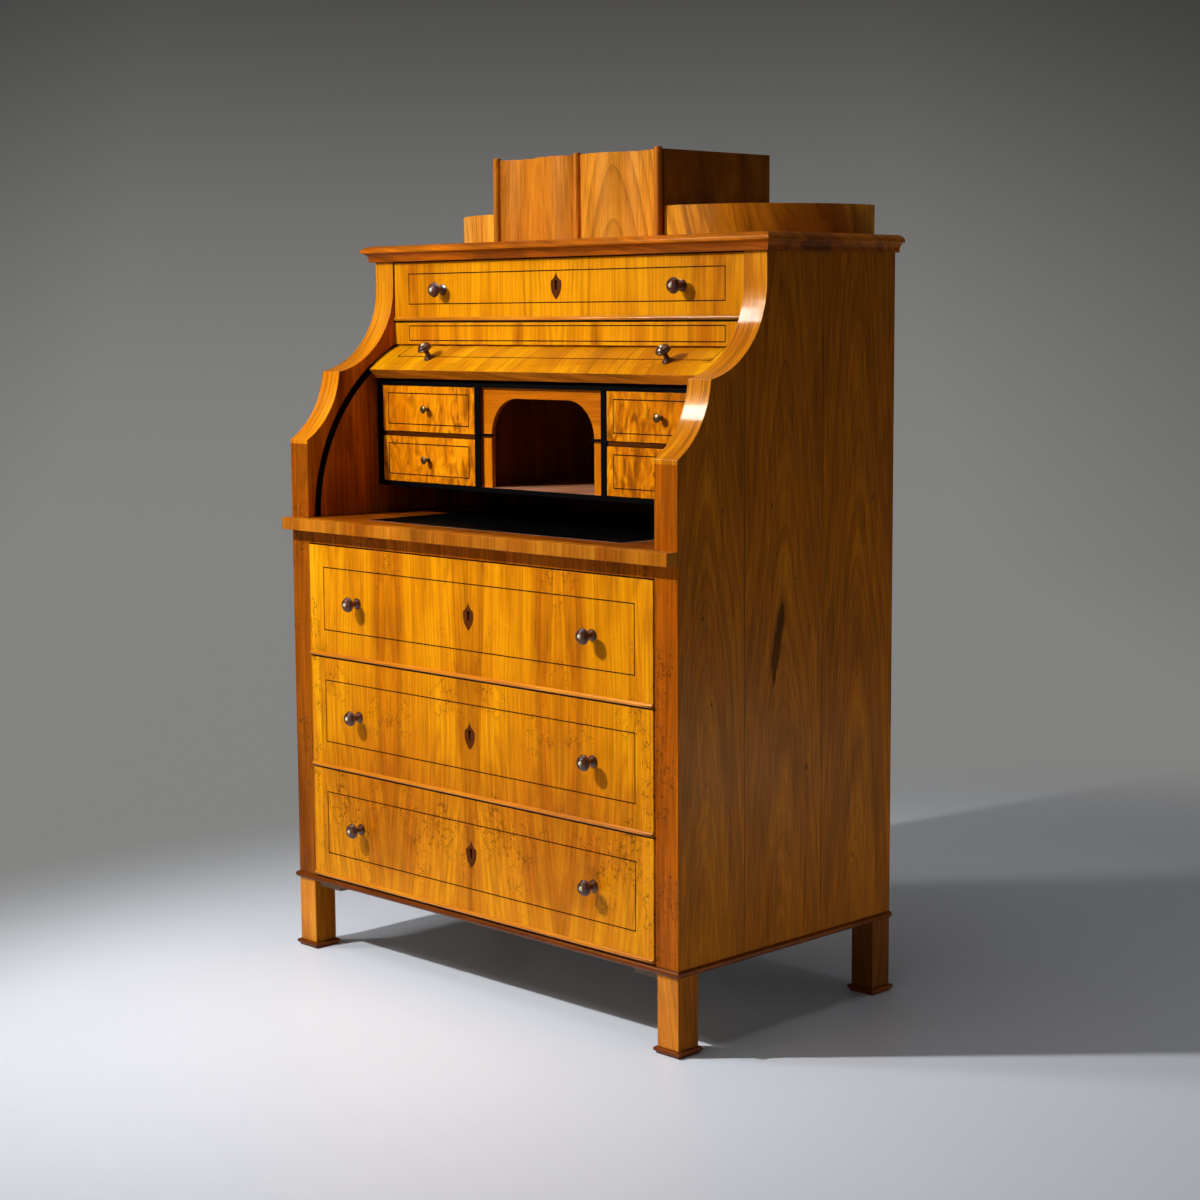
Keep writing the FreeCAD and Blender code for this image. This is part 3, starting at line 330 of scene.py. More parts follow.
# knots and a streak of resin on the right side: depth, height, half width, half height in metres
sideKnots = ((0.099, 0.836, 0.003, 0.006), (0.213, 0.836, 0.0026, 0.008), (0.462, 0.835, 0.003, 0.01),
             (0.075, 0.541, 0.003, 0.006), (0.298, 0.413, 0.0034, 0.009), (0.258, 0.276, 0.002, 0.006),
             (0.416, 0.249, 0.003, 0.008), (0.272, 0.718, 0.003, 0.004), (0.055, 0.675, 0.003, 0.005),
             (0.302, 0.547, 0.002, 0.006), (0.238, 0.662, 0.009, 0.04), (0.231, 0.64, 0.011, 0.05),
             (0.225, 0.612, 0.0115, 0.05), (0.219, 0.585, 0.009, 0.05))

# tones across a leaf of the long drawers, from its pith outwards
leafTones = ((0.17, 0.5), (0.28, 1.0), (0.48, 0.9), (0.6, 0.45), (0.69, 0.75), (0.77, 0.1), (0.86, 0.05), (0.92, 0.4))

# what a few woods share
bookWood = dict(streakDepth=0.6, ringDepth=0.35, fine=0.18, fibre=0.24, lines=0.14, smoke=0.42)
stripWood = dict(rings=170.0, smoke=0.4, fine=0.3, fibre=0.26, lines=0.35)
squareWood = dict(rings=140.0, smoke=0.45, fine=0.24, lines=0.2)
blockWood = dict(rings=150.0, wander=0.012, smoke=0.4, fine=0.2, lines=0.12)
archedWood = dict(lines=0.3, crackleFrom=0.74, coat=0.1, coatRough=0.3, ringWide=0.012, ringRound=0.02)

woods = {
    "frontVeneer": dict(bookWood, pale=(0.78, 0.345, 0.002)),
    "rollVeneer": dict(bookWood, pale=(0.8, 0.405, 0.002), mid=(0.5, 0.19, 0.001)),
    "leafVeneer": dict(leaf=leafTones, wander=0.014, ringDepth=0.15, streakDepth=0.45, smoke=0.45, cloud=0.4,
        crackleFrom=0.51, fine=0.24, lines=0.16),
    "borderVeneer": dict(pale=(0.88, 0.42, 0.004), mid=(0.76, 0.32, 0.003), ringDepth=0.2, crackleFrom=0.46,
        fine=0.22, lines=0.15),
    "beadStrip": dict(pale=(0.74, 0.31, 0.012), mid=(0.58, 0.21, 0.006), rings=160.0, coat=0.6),
    "edgeStrip": dict(stripWood, pale=(0.54, 0.155, 0.002), mid=(0.37, 0.092, 0.001), red=(0.35, 0.08, 0.001),
        dark=(0.15, 0.034, 0.001), mark=(0.03, 0.006, 0.001), crackleFrom=0.5),
    "neckStrip": dict(stripWood, pale=(0.56, 0.165, 0.002), mid=(0.36, 0.092, 0.001), red=(0.35, 0.08, 0.001),
        dark=(0.15, 0.034, 0.001)),
    # the left side's front strips: a darker copy of the edge strip wood, painted shade
    "edgeShade": dict(stripWood, pale=(0.38, 0.11, 0.002), mid=(0.27, 0.067, 0.001), red=(0.25, 0.056, 0.001),
        dark=(0.11, 0.024, 0.001), mark=(0.03, 0.006, 0.001), crackleFrom=0.5),
    "scoopStrip": dict(pale=(0.88, 0.4, 0.004), mid=(0.5, 0.165, 0.002), red=(0.46, 0.12, 0.002),
        dark=(0.22, 0.05, 0.001), rings=170.0, coat=0.38, fine=0.36, lines=0.45),
    "sideBoard": dict(pale=(0.53, 0.17, 0.002), mid=(0.385, 0.115, 0.001), red=(0.4, 0.11, 0.001),
        dark=(0.1, 0.023, 0.001), streak=(0.12, 0.028, 0.001), mark=(0.012, 0.004, 0.002), rings=150.0, ringDepth=0.8,
        ringEven=0.35, waver=0.2, wander=0.04, quiver=0.0016, fine=0.2, fibre=0.26, coatRough=0.2, knots=sideKnots,
        ringWide=0.007, ringLean=0.12, streakDepth=0.35, cloud=0.2, lines=0.15, ringRound=0.03, figure=130.0),
    "cheek": dict(pale=(0.64, 0.21, 0.003), mid=(0.4, 0.11, 0.002), red=(0.33, 0.07, 0.002), dark=(0.1, 0.018, 0.001),
        rings=130.0, smoke=0.5, streakDepth=0.9, lines=0.4, fine=0.28, streakFrom=0.5),
    # the cornice's upper half: a lighter copy of the cornice wood, painted light
    "corniceLight": dict(pale=(0.68, 0.23, 0.003), mid=(0.42, 0.115, 0.002), red=(0.38, 0.09, 0.002),
        dark=(0.14, 0.028, 0.001), rings=160.0, coat=0.2, smoke=0.5, streakDepth=0.8, fine=0.3, lines=0.35),
    "corniceWood": dict(pale=(0.5, 0.145, 0.002), mid=(0.27, 0.06, 0.001), red=(0.28, 0.058, 0.001),
        dark=(0.08, 0.015, 0.001), rings=160.0, coat=0.15, smoke=0.6, streakDepth=0.9, fine=0.34, lines=0.4),
    "mouldWood": dict(pale=(0.25, 0.06, 0.004), mid=(0.17, 0.036, 0.002), red=(0.16, 0.03, 0.002),
        dark=(0.08, 0.016, 0.001), rings=190.0, coat=0.12),
    "legWood": dict(squareWood, pale=(0.8, 0.33, 0.034), mid=(0.6, 0.215, 0.021), red=(0.5, 0.15, 0.014),
        dark=(0.26, 0.066, 0.006), crackleFrom=0.6),
    # the legs' side faces and the rear legs: darker copies of the leg wood, painted shade
    "legShade": dict(squareWood, pale=(0.44, 0.15, 0.006), mid=(0.32, 0.096, 0.004), red=(0.3, 0.08, 0.003),
        dark=(0.13, 0.034, 0.001)),
    "legRear": dict(squareWood, pale=(0.24, 0.072, 0.004), mid=(0.17, 0.046, 0.002), red=(0.16, 0.04, 0.002),
        dark=(0.07, 0.018, 0.001)),
    "lipWood": dict(blockWood, pale=(0.56, 0.23, 0.016), mid=(0.36, 0.12, 0.006), dark=(0.17, 0.045, 0.002)),
    "lipShade": dict(blockWood, pale=(0.44, 0.16, 0.01), mid=(0.29, 0.088, 0.004), dark=(0.14, 0.036, 0.002)),
    # the slide board: far darker than the lip, painted shade under the roll
    "slideWood": dict(pale=(0.27, 0.072, 0.002), mid=(0.19, 0.045, 0.001), dark=(0.1, 0.022, 0.001), fine=0.35),
    "railWood": dict(pale=(0.54, 0.19, 0.012), mid=(0.36, 0.11, 0.006), dark=(0.15, 0.036, 0.002), rings=180.0,
        fine=0.4),
    "burrVeneer": dict(pale=(0.82, 0.335, 0.004), mid=(0.55, 0.185, 0.002), red=(0.6, 0.21, 0.002),
        dark=(0.2, 0.05, 0.001), wander=0.09, quiver=0.024, rings=110.0, smokeSize=0.3, cloud=0.5, swirl=0.75),
    "archWood": dict(pale=(0.66, 0.22, 0.003), mid=(0.5, 0.15, 0.002), ringDepth=0.15, fine=0.14, lines=0.06),
    "panelVeneer": dict(archedWood, pale=(0.78, 0.32, 0.024), mid=(0.66, 0.25, 0.018), dark=(0.09, 0.02, 0.002),
        rings=46.0, ringDepth=0.95, ringEven=0.8, waver=0.1, wander=0.008, streakFrom=0.64, ringLean=0.22,
        figure=40.0),
    "panelSoft": dict(archedWood, pale=(0.68, 0.255, 0.018), mid=(0.54, 0.185, 0.012), dark=(0.24, 0.06, 0.003),
        rings=60.0, ringDepth=0.6, waver=0.2, wander=0.012, streakFrom=0.62, ringLean=0.16, figure=50.0),
    "columnWood": dict(pale=(0.62, 0.21, 0.006), mid=(0.42, 0.12, 0.003), dark=(0.16, 0.036, 0.001), rings=170.0,
        coat=0.4),
    "wingVeneer": dict(pale=(0.86, 0.375, 0.02), mid=(0.59, 0.22, 0.01), dark=(0.22, 0.056, 0.002), rings=150.0,
        streakFrom=0.5, streakDepth=0.75, crackleFrom=0.62, coat=0.15, coatRough=0.2, fine=0.34, lines=0.5),
    # the left wing: a paler copy of the wing veneer, painted light
    "wingPale": dict(pale=(0.9, 0.44, 0.05), mid=(0.68, 0.28, 0.025), dark=(0.3, 0.09, 0.006), rings=150.0,
        streakFrom=0.54, coat=0.15, coatRough=0.2, fine=0.3, lines=0.35),
    "atticBoard": dict(pale=(0.46, 0.2, 0.008), mid=(0.24, 0.09, 0.004), red=(0.2, 0.06, 0.001),
        dark=(0.08, 0.022, 0.001), rings=150.0, ringDepth=0.8, waver=0.2, wander=0.008, fine=0.4, ringWide=0.014,
        ringLean=0.05, figure=70.0),
    # inside the pigeonhole cabinet: near-black board edges and dark boards, painted shade, and a pale floor, painted
    # light
    "dividerEdge": dict(pale=(0.09, 0.02, 0.002), mid=(0.06, 0.013, 0.001), red=(0.06, 0.012, 0.001),
        dark=(0.03, 0.007, 0.001)),
    "nicheWood": dict(pale=(0.28, 0.095, 0.024), mid=(0.16, 0.045, 0.009), red=(0.15, 0.035, 0.007),
        dark=(0.08, 0.02, 0.004)),
    "nicheFloor": dict(pale=(0.6, 0.31, 0.18), mid=(0.48, 0.22, 0.12), red=(0.42, 0.17, 0.09), dark=(0.25, 0.1, 0.05),
        glow=(1.0, 0.85, 0.7)),
    "backWood": dict(pale=(0.06, 0.018, 0.006), mid=(0.04, 0.011, 0.004), red=(0.035, 0.009, 0.003),
        dark=(0.018, 0.005, 0.002), rings=120.0),
    "backPine": dict(pale=(0.42, 0.24, 0.1), mid=(0.33, 0.17, 0.065), red=(0.3, 0.14, 0.05), dark=(0.16, 0.075, 0.03),
        streak=(0.14, 0.06, 0.025), mark=(0.05, 0.025, 0.012), rings=130.0, ringDepth=0.6, rough=0.6, coat=0.0,
        glow=(1.0, 0.9, 0.75), crackleFrom=0.8),
}
finishes = {name: woodFinish(name, {**cherry, **change}) for name, change in woods.items()}


# Other finishes, from the place on the object in metres

def turnedWood(look):
    t = Tree("turnedWood")
    place = t.place()
    band = t.noise(place, (260, 260, 700), detail=4)
    cloud = t.rise(t.noise(place, 90), 0.45, 0.7)
    colour = t.mix(t.rise(band, 0.3, 0.7), look["dark"], look["red"])
    t.feed("Base Color", t.mix(t.times(cloud, 0.4), colour, look["black"]))
    t.feed("Roughness", t.scale(band, 0.2, 0.25))
    t.feed("Coat Weight", 1.0)
    t.feed("Coat Roughness", 0.05)
    t.feed("Specular IOR Level", 0.08)
    t.bump(band, 0.00012)
    return t.material


def twoTone(name, look):
    # Two colours mixed by a noise. The gloss follows the mix or the noise, the relief the noise or a finer grit.
    t = Tree(name)
    place = t.place()
    noise = t.noise(place, *look["noise"])
    mask = t.rise(noise, *look["span"])
    grit = t.noise(place, *look["grit"]) if "grit" in look else noise
    t.feed("Base Color", t.mix(t.times(mask, look["share"]) if "share" in look else mask, *look["tones"]))
    t.feed("Roughness", t.scale(mask, *look["wornGloss"]) if "wornGloss" in look else t.scale(grit, *look["gloss"]))
    if "metal" in look:
        t.feed("Metallic", t.scale(mask, *look["metal"]) if isinstance(look["metal"], tuple) else look["metal"])
    if "shine" in look:
        t.feed("Specular IOR Level", look["shine"])
    if "relief" in look:
        t.bump(grit, look["relief"])
    return t.material


def writingLeather(name, look):
    t = Tree(name)
    place = t.place()
    warped = t.vector("ADD", place, t.vector("MULTIPLY", t.noise(place, 300, colour=True), (0.0012,) * 3))
    pebble = t.rise(t.cells(warped, 620), 0.0, 0.3)
    rub = t.rise(t.noise(place, (7, 10, 1), detail=5, rough=0.6), 0.42, 0.72)
    colour = t.mix(t.times(rub, 0.7), look["black"], look["rubbed"])
    t.feed("Base Color", t.mix(t.scale(pebble, -0.35, 0.35), colour, look["crease"]))
    t.feed("Roughness", t.scale(rub, -0.1, t.scale(pebble, -0.06, 0.36)))
    t.feed("Specular IOR Level", 0.008)
    t.bump(t.scale(t.noise(place, 22), 1.5, pebble), 0.00022)
    return t.material


def boardWood(name, look):
    # plain boards, with no grain attribute: the carried-over inner pieces
    t = Tree(name)
    place = t.place()
    along = t.stretch(place, *look["along"])
    line = t.noise(along, (46, 46, 46), detail=4)
    fine = t.noise(along, (420, 420, 420))
    colour = t.ramp(line, (0.3, look["dark"]), (0.52, look["mid"]), (0.72, look["pale"]))
    colour = t.mix(0.3, colour, t.ramp(fine, (0.3, 0.2), (0.7, 0.8)), "OVERLAY")
    stain = t.rise(t.noise(place, 7, detail=5, rough=0.6), 0.5, 0.75)
    t.feed("Base Color", t.mix(t.times(stain, 0.4), colour, look["stain"]))
    t.feed("Roughness", t.scale(fine, 0.2, 0.5))
    t.bump(t.scale(fine, 0.6, line), 0.0003)
    return t.material


finishes["turnedWood"] = turnedWood(dict(dark=(0.04, 0.01, 0.004), red=(0.13, 0.032, 0.01),
                                         black=(0.014, 0.005, 0.003)))
leathers = {
    # the leather's bevelled rim: a pale copy of the leather, painted highlight
    "leatherEdge": dict(black=(0.3, 0.27, 0.24), rubbed=(0.4, 0.36, 0.32), crease=(0.15, 0.13, 0.11)),
    "writingLeather": dict(black=(0.001, 0.001, 0.0012), rubbed=(0.004, 0.0037, 0.0037),
                           crease=(0.0004, 0.0004, 0.0004)),
}
tones = {
    "boneDot": dict(tones=((0.5, 0.42, 0.25), (0.84, 0.78, 0.6)), noise=(900, 4), span=(0.35, 0.7), gloss=(0.2, 0.2),
        relief=0.00008),
    "agedBrass": dict(tones=((0.16, 0.115, 0.06), (0.06, 0.042, 0.022)), noise=(420, 5, 0.6), span=(0.42, 0.68),
        wornGloss=(0.25, 0.32), metal=1.0, grit=(1500,), relief=0.00006),
    "shieldWood": dict(tones=((0.05, 0.012, 0.002), (0.12, 0.026, 0.003)), noise=((700, 700, 60), 4), span=(0.3, 0.7),
        gloss=(0.18, 0.3), shine=0.04, relief=0.00015),
    "blackWood": dict(tones=((0.002, 0.002, 0.0025), (0.006, 0.0035, 0.002)), noise=(46, 4), span=(0.56, 0.72),
        share=0.5, grit=((160, 160, 160), 5, 0.6), gloss=(0.25, 0.25), shine=0.03, relief=0.00015),
    "oldIron": dict(tones=((0.3, 0.29, 0.28), (0.12, 0.06, 0.035)), noise=(150, 6, 0.65), span=(0.48, 0.62),
        wornGloss=(0.4, 0.38), metal=(-0.7, 0.95), grit=(700, 4), relief=0.0002),
    "stringInlay": dict(tones=((0.02, 0.004, 0.001), (0.05, 0.011, 0.002)), noise=(130, 4), span=(0.4, 0.72), share=0.6,
        wornGloss=(0.2, 0.35), shine=0.02),
    # painted shade: near black for the edges of the drawers, the strip under their beads, the keyhole walls, the side
    # joints and the inside of the grooves, where shade falls
    "shadowGap": dict(tones=((0.01, 0.005, 0.003), (0.035, 0.018, 0.01)), noise=(60, 4), span=(0.45, 0.75), share=0.6,
        wornGloss=(0.15, 0.7), shine=0.1),
}
pine = dict(pale=(0.58, 0.4, 0.21), mid=(0.5, 0.32, 0.15), dark=(0.36, 0.21, 0.09), stain=(0.25, 0.15, 0.07))
# the bottom board and the leg blocks: pine at about a third of its colour, painted shade under the case
oldPine = {key: tuple(c * 0.35 for c in colour) for key, colour in pine.items()}
boards = {
    "oldPine": dict(oldPine, along=(0.06, 1, 1)), "pineX": dict(pine, along=(0.06, 1, 1)),
    "pineY": dict(pine, along=(1, 0.06, 1)),
}
for maker, looks in ((writingLeather, leathers), (twoTone, tones), (boardWood, boards)):
    for name, look in looks.items():
        finishes[name] = maker(name, look)
print("finishes made:", len(finishes))


# How a piece was cut from its log: which way the grain runs, where the pith lies, and how the board slopes to it

def cut(along="z", flat="x", centre=0.0, depth=0.05, slope=0.0, tilt=0.0, start=0.0, mirror=1.0):
    w, a = "xyz".index(along), "xyz".index(flat)
    v = 3 - w - a

    def toLog(p):
        run = p[w] - start
        return Vector((mirror * (p[a] - centre) - tilt * run, depth + slope * run + 0.35 * p[v], run))
    return toLog


seeds = random.Random(7)


def anyCut(box, along=None):
    # a plain board: grain along its longest side, pith somewhere behind it
    sides = sorted(((box[1][k] - box[0][k], "xyz"[k]) for k in range(3)), reverse=True)
    w = along or sides[0][1]
    a = next(axis for size, axis in sides if axis != w)
    k = "xyz".index(a)
    middle = (box[0][k] + box[1][k]) / 2
    return cut(w, a, centre=middle + seeds.uniform(-0.08, 0.08) + 0.12 * seeds.choice((-1, 1)),
               depth=seeds.uniform(0.03, 0.12), slope=seeds.uniform(0.0, 0.06), tilt=seeds.uniform(-0.03, 0.03),
               start=seeds.uniform(-3, 3))


def centreOf(face):
    return face.calc_center_median()


def islands(mesh):
    found, left = [], set(mesh.faces)
    while left:
        queue = [left.pop()]
        island = set(queue)
        while queue:
            for edge in queue.pop().edges:
                for face in edge.link_faces:
                    if face in left:
                        left.discard(face)
                        island.add(face)
                        queue.append(face)
        found.append(island)

    def where(faces):
        return tuple(round(c, 4) for c in sum((centreOf(f) for f in faces), Vector()) / len(faces))
    return sorted(found, key=where)


def boxOf(faces):
    points = [v.co for f in faces for v in f.verts]
    return [Vector([pick(p[k] for p in points) for k in range(3)]) for pick in (min, max)]


def sliceAt(mesh, axis, place):
    normal = Vector([1.0 if axis == k else 0.0 for k in "xyz"])
    bmesh.ops.bisect_plane(mesh, geom=mesh.verts[:] + mesh.edges[:] + mesh.faces[:], plane_co=normal * place,
                           plane_no=normal, dist=1e-6)
    return normal


def groove(mesh, axis, place, half, depth, face):
    # a V joint between boards, on the side that faces the given way
    for step in (-half, half, 0.0):
        normal = sliceAt(mesh, axis, place + step)
    top = max(v.co.dot(face) for v in mesh.verts)
    for v in mesh.verts:
        if abs(v.co.dot(normal) - place) < 1e-5 and v.co.dot(face) > top - 1e-4:
            v.co -= face * depth


def addPiece(name, mesh, finishNames, body, slot, stands=()):
    for item in finishNames:
        mesh.materials.append(finishes[item])
    piece = bpy.data.objects.new(name, mesh)
    scene.collection.objects.link(piece)
    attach(piece, body)
    if stands:
        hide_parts(*stands)
    return piece


easing = {"join": 2e-6, "flat": 0.4, "corner": 32, "shortest": 0.0035, "sharp": 38}  # metres and degrees


def dress(node, rule, ease=0.0006, splits=(), grooves=()):
    # An eased copy of a CAD node. For each face, the rule gives a finish, a key of the board it is cut from,
    # a maker of that cut and, on the fronts, the distance from the flame.
    work = bmesh.new()
    work.from_mesh(nodes[node].data)
    bmesh.ops.remove_doubles(work, verts=work.verts, dist=easing["join"])
    bmesh.ops.dissolve_limit(work, angle_limit=math.radians(easing["flat"]), verts=work.verts, edges=work.edges)
    if ease:
        corner = math.radians(easing["corner"])
        sharp = [e for e in work.edges if len(e.link_faces) == 2 and e.is_convex
                 and e.calc_face_angle(0) > corner and e.calc_length() > easing["shortest"]]
        bmesh.ops.bevel(work, geom=sharp, offset=ease, segments=2, profile=0.6, affect="EDGES", clamp_overlap=False)
    for split in splits:
        sliceAt(work, *split)
    for joint in grooves:
        groove(work, *joint)
    grain = work.loops.layers.float_vector.new("grain")
    heart = work.loops.layers.float.new("heart")
    plans = []
    work.faces.index_update()
    for island in islands(work):
        box = boxOf(island)
        cuts = {}
        for face in sorted(island, key=lambda f: f.index):
            finish, key, maker, *flame = rule(face, box)
            if key not in cuts:
                cuts[key] = maker()
            plans.append((face, finish, cuts[key], *flame))
    names = sorted({finish for face, finish, *rest in plans})
    for face, finish, toLog, *flame in plans:
        face.material_index = names.index(finish)
        face.smooth = True
        for loop in face.loops:
            loop[grain] = toLog(loop.vert.co)
            loop[heart] = flame[0](loop.vert.co) if flame else 1.0
    mesh = bpy.data.meshes.new(f"{node}_wood")
    work.to_mesh(mesh)
    work.free()
    mesh.set_sharp_from_angle(angle=math.radians(easing["sharp"]))
    piece = addPiece(mesh.name, mesh, names, bodyOf[node], slotOf[node], (node,))
    piece.modifiers.new("evenShade", "WEIGHTED_NORMAL").keep_sharp = True


def chosen(choose, along=None):
    # plain boards whose finish depends on the face
    return lambda face, box: (choose(face, box), 0, lambda: anyCut(box, along))


def plain(finish, along=None):
    return chosen(lambda face, box: finish, along)


# Sides: three boards each outside, straight strips round the front edge, red-brown cheeks inside. In metres:
# the joints and piths behind the front, the boards' slopes to the pith, the roll's groove and the edge's parts.

sideLook = {"joints": (0.15, 0.335), "middles": (0.064, 0.243, 0.424), "slopes": (0.12, 0.13, 0.11), "bottom": -0.4,
            "half": 0.0005, "deep": 0.0007, "grooveX": (0.4247, 0.47), "grooveZ": 0.775, "grooveHalf": 0.013,
            "slotZ": 0.74, "neckZ": 0.735, "scoopZ": 0.91}


def sideRule(sign):
    def rule(face, box):
        normal, middle = face.normal, centreOf(face)
        reach = math.hypot(middle.y - desk["axisY"], middle.z - desk["axisZ"])
        onRoll = abs(reach - desk["rollRadius"]) < sideLook["grooveHalf"]
        wall = middle.z > sideLook["grooveZ"] and onRoll and middle.y < box[1].y - 0.002
        bottom = abs(normal.x) > 0.8 and middle.z > sideLook["slotZ"]
        # the walls and floor of the roll's groove get painted shade, near black
        if sideLook["grooveX"][0] < abs(middle.x) < sideLook["grooveX"][1] and (wall or bottom):
            return "shadowGap", "groove", cut
        depth = middle.y - desk["frontY"]
        nearest = min(abs(depth - joint) for joint in sideLook["joints"])
        # the joints between the side boards get painted shade, near black
        if abs(middle.x) > desk["sideX"] - 0.0015 and nearest < 0.0008:
            return "shadowGap", "joint", cut
        if normal.x * sign < -0.8:
            return "cheek", "inside", lambda: cut("z", "y", centre=-0.35, depth=0.02, slope=0.02, start=sign * 2.0)
        if normal.x * sign > 0.8:
            board = sum(depth > joint for joint in sideLook["joints"])
            pith = sideLook["middles"][board] + desk["frontY"]
            return "sideBoard", board, lambda: cut("z", "y", centre=pith, depth=0.0, slope=sideLook["slopes"][board],
                                                   start=sideLook["bottom"] - 0.05 * board)
        if middle.z > sideLook["scoopZ"] and normal.y < 0.5:
            finish = "scoopStrip"
        # the left side's strips get a darker copy of the wood: painted shade
        elif sign < 0:
            finish = "edgeShade"
        else:
            finish = "neckStrip" if middle.z > sideLook["neckZ"] else "edgeStrip"
        return finish, "strip", lambda: cut("z", "x", centre=sign * 0.29, depth=0.05, tilt=0.01, start=sign * 3.0)
    return rule


for hand, sign in (("left", -1), ("right", 1)):
    dress(f"side_{hand}", sideRule(sign), ease=0.0007, splits=[("z", sideLook["neckZ"]), ("z", sideLook["scoopZ"])],
          grooves=[("y", joint + desk["frontY"], sideLook["half"], sideLook["deep"], Vector((sign, 0, 0)))
                   for joint in sideLook["joints"]])


# Case boards and mouldings

def corniceFinish(face, box):
    # the upper half of the cornice gets a lighter copy of its wood than the lower half: painted light above, painted
    # shade below
    return "corniceLight" if centreOf(face).z > (box[0].z + box[1].z) / 2 else "corniceWood"


def legFinish(face, box):
    # the rear legs and the legs' side faces get darker copies of the wood: painted shade
    if box[0].y > 0:
        return "legRear"
    return "legShade" if abs(face.normal.x) > 0.5 else "legWood"


dress("front_rail", lambda face, box: ("edgeStrip", 0, lambda: cut("z", "x", centre=-1.2, depth=0.05, start=1.0)))
dress("top_board", plain("corniceWood", "x"), ease=0.0)
dress("base_moulding", plain("mouldWood"), ease=0.0)
dress("cornice", chosen(corniceFinish), ease=0.0008)
dress("legs", chosen(legFinish, "z"), ease=0.001)
dress("foot_pads", plain("mouldWood", "x"), ease=0.0)

# Back: five softwood boards with V joints, near black on the inner face, which the writing place shows
backLook = {"joints": (-0.27, -0.085, 0.1, 0.265), "half": 0.0016, "deep": 0.0022}


def backRule(face, box):
    board = sum(centreOf(face).x > joint for joint in backLook["joints"])
    if face.normal.y < -0.5:
        return "backWood", board, lambda: anyCut(box, "z")
    return "backPine", ("out", board), lambda: cut("z", "x", centre=-0.36 + 0.19 * board, slope=0.035,
                                                   depth=0.02 + 0.012 * (board % 3), start=-1.2 - 0.7 * board)


dress("back_panel", backRule, ease=0.0008,
      grooves=[("x", joint, backLook["half"], backLook["deep"], Vector((0, 1, 0))) for joint in backLook["joints"]])
print("case dressed")


# Drawer fronts: four leaves of veneer, turned over like the pages of a book, a dark flame down the middle. In metres:
# a leaf's width, where the border starts, the flame's foot, the pith's place and depth, and how it strays lower down.

veneer = {"leaf": 0.21165, "border": 0.398, "foot": 0.243, "pith": 0.05, "depth": 0.03, "spread": 0.2,
          "spreadFrom": 0.62}
beadLook = {"top": 0.0085, "bottom": 0.002, "edgeFrom": 0.0045}


def sideOf(x):
    return 1.0 if x > 0 else -1.0


def edgeOf(face, box):
    # the finish of the edges and the bead of a front, or None on its face; the edges and the strip under the bead get
    # painted shade
    middle = centreOf(face)
    rise = middle.z - box[0].z
    if face.normal.y > -0.3 and rise > 0.0005 and middle.y > box[0].y + beadLook["edgeFrom"]:
        return "shadowGap"
    if rise < beadLook["top"]:
        return "beadStrip" if rise > beadLook["bottom"] else "shadowGap"
    return None


def leafRule(face, box):
    edge = edgeOf(face, box)
    if edge:
        return edge, edge, lambda: cut("x", "z", centre=-0.4, depth=0.03, start=seeds.uniform(-3, 3))
    x = centreOf(face).x
    page = min(int(abs(x) / veneer["leaf"]), 1) if abs(x) < veneer["border"] else 2
    side = sideOf(x)
    shift = 0.006 * side * (page + 1)

    def border():
        return cut("z", "x", centre=side * 0.1, depth=0.05, slope=0.02, tilt=0.01, start=4.0 + side, mirror=side)

    def leaf():
        made = cut("z", "x", centre=side * 2 * veneer["leaf"] * page, depth=veneer["depth"], slope=0.02, tilt=0.03,
                   start=veneer["foot"] + shift, mirror=side * (1 - 2 * page))

        def toLog(p):
            stray = veneer["spread"] * max(veneer["spreadFrom"] - p.z, 0) ** 2
            return made(p) + Vector((veneer["pith"] + shift - stray, 0, 0))
        return toLog

    if page == 2:
        return "borderVeneer", (page, side), border
    return "leafVeneer", (page, side), leaf, lambda p: abs(p.x) if page == 0 else 1.0


leafSplits = [("x", place) for k in (-1, 1) for place in (k * veneer["leaf"], k * veneer["border"])] + [("x", 0.0)]
for name in longDrawers:
    dress(f"{name}_front", leafRule, ease=0.0005, splits=leafSplits)


def upperRule(start, beaded):
    # straight striped leaves of the top drawer and the frieze
    def rule(face, box):
        edge = edgeOf(face, box) if beaded else None
        if edge:
            return edge, edge, lambda: cut("x", "z", centre=-0.4, depth=0.03, start=1.5)
        side = sideOf(centreOf(face).x)
        return "frontVeneer", side, lambda: cut("z", "x", centre=-side * 0.09, depth=0.05, tilt=0.02, start=start,
                                                mirror=side)
    return rule


def shieldFinish(face, box):
    # the walls of the keyhole get painted shade, near black
    return "shieldWood" if face.normal.y < -0.5 else "shadowGap"


for name in (*longDrawers, "top_drawer"):
    dress(f"{name}_shield", chosen(shieldFinish, "z"), ease=0.0)
dress("top_drawer_front", upperRule(-2.0, True), ease=0.0005, splits=[("x", 0.0)])
dress("frieze_panel", upperRule(-2.5, False), ease=0.0004, splits=[("x", 0.0)])
print("drawer fronts dressed")


# Writing slide: its lip is veneered in blocks
# the slide board gets a dark copy of the wood: painted shade under the roll
dress("slide_board", plain("slideWood", "x"), ease=0.0004)
lipLook = {"joints": (-0.31, -0.21, -0.12, 0.015, 0.1, 0.2, 0.32, 0.4), "darker": (1, 3, 4, 7)}


def lipRule(face, box):
    block = sum(centreOf(face).x > joint for joint in lipLook["joints"])
    return "lipShade" if block in lipLook["darker"] else "lipWood", block, lambda: cut(
        "z", "x", centre=-0.5 - 0.37 * block, depth=0.04, tilt=0.02 * (block % 3), start=block)


dress("slide_lip", lipRule, ease=0.0009, splits=[("x", joint) for joint in lipLook["joints"]])


# Roll: the grain follows the bend

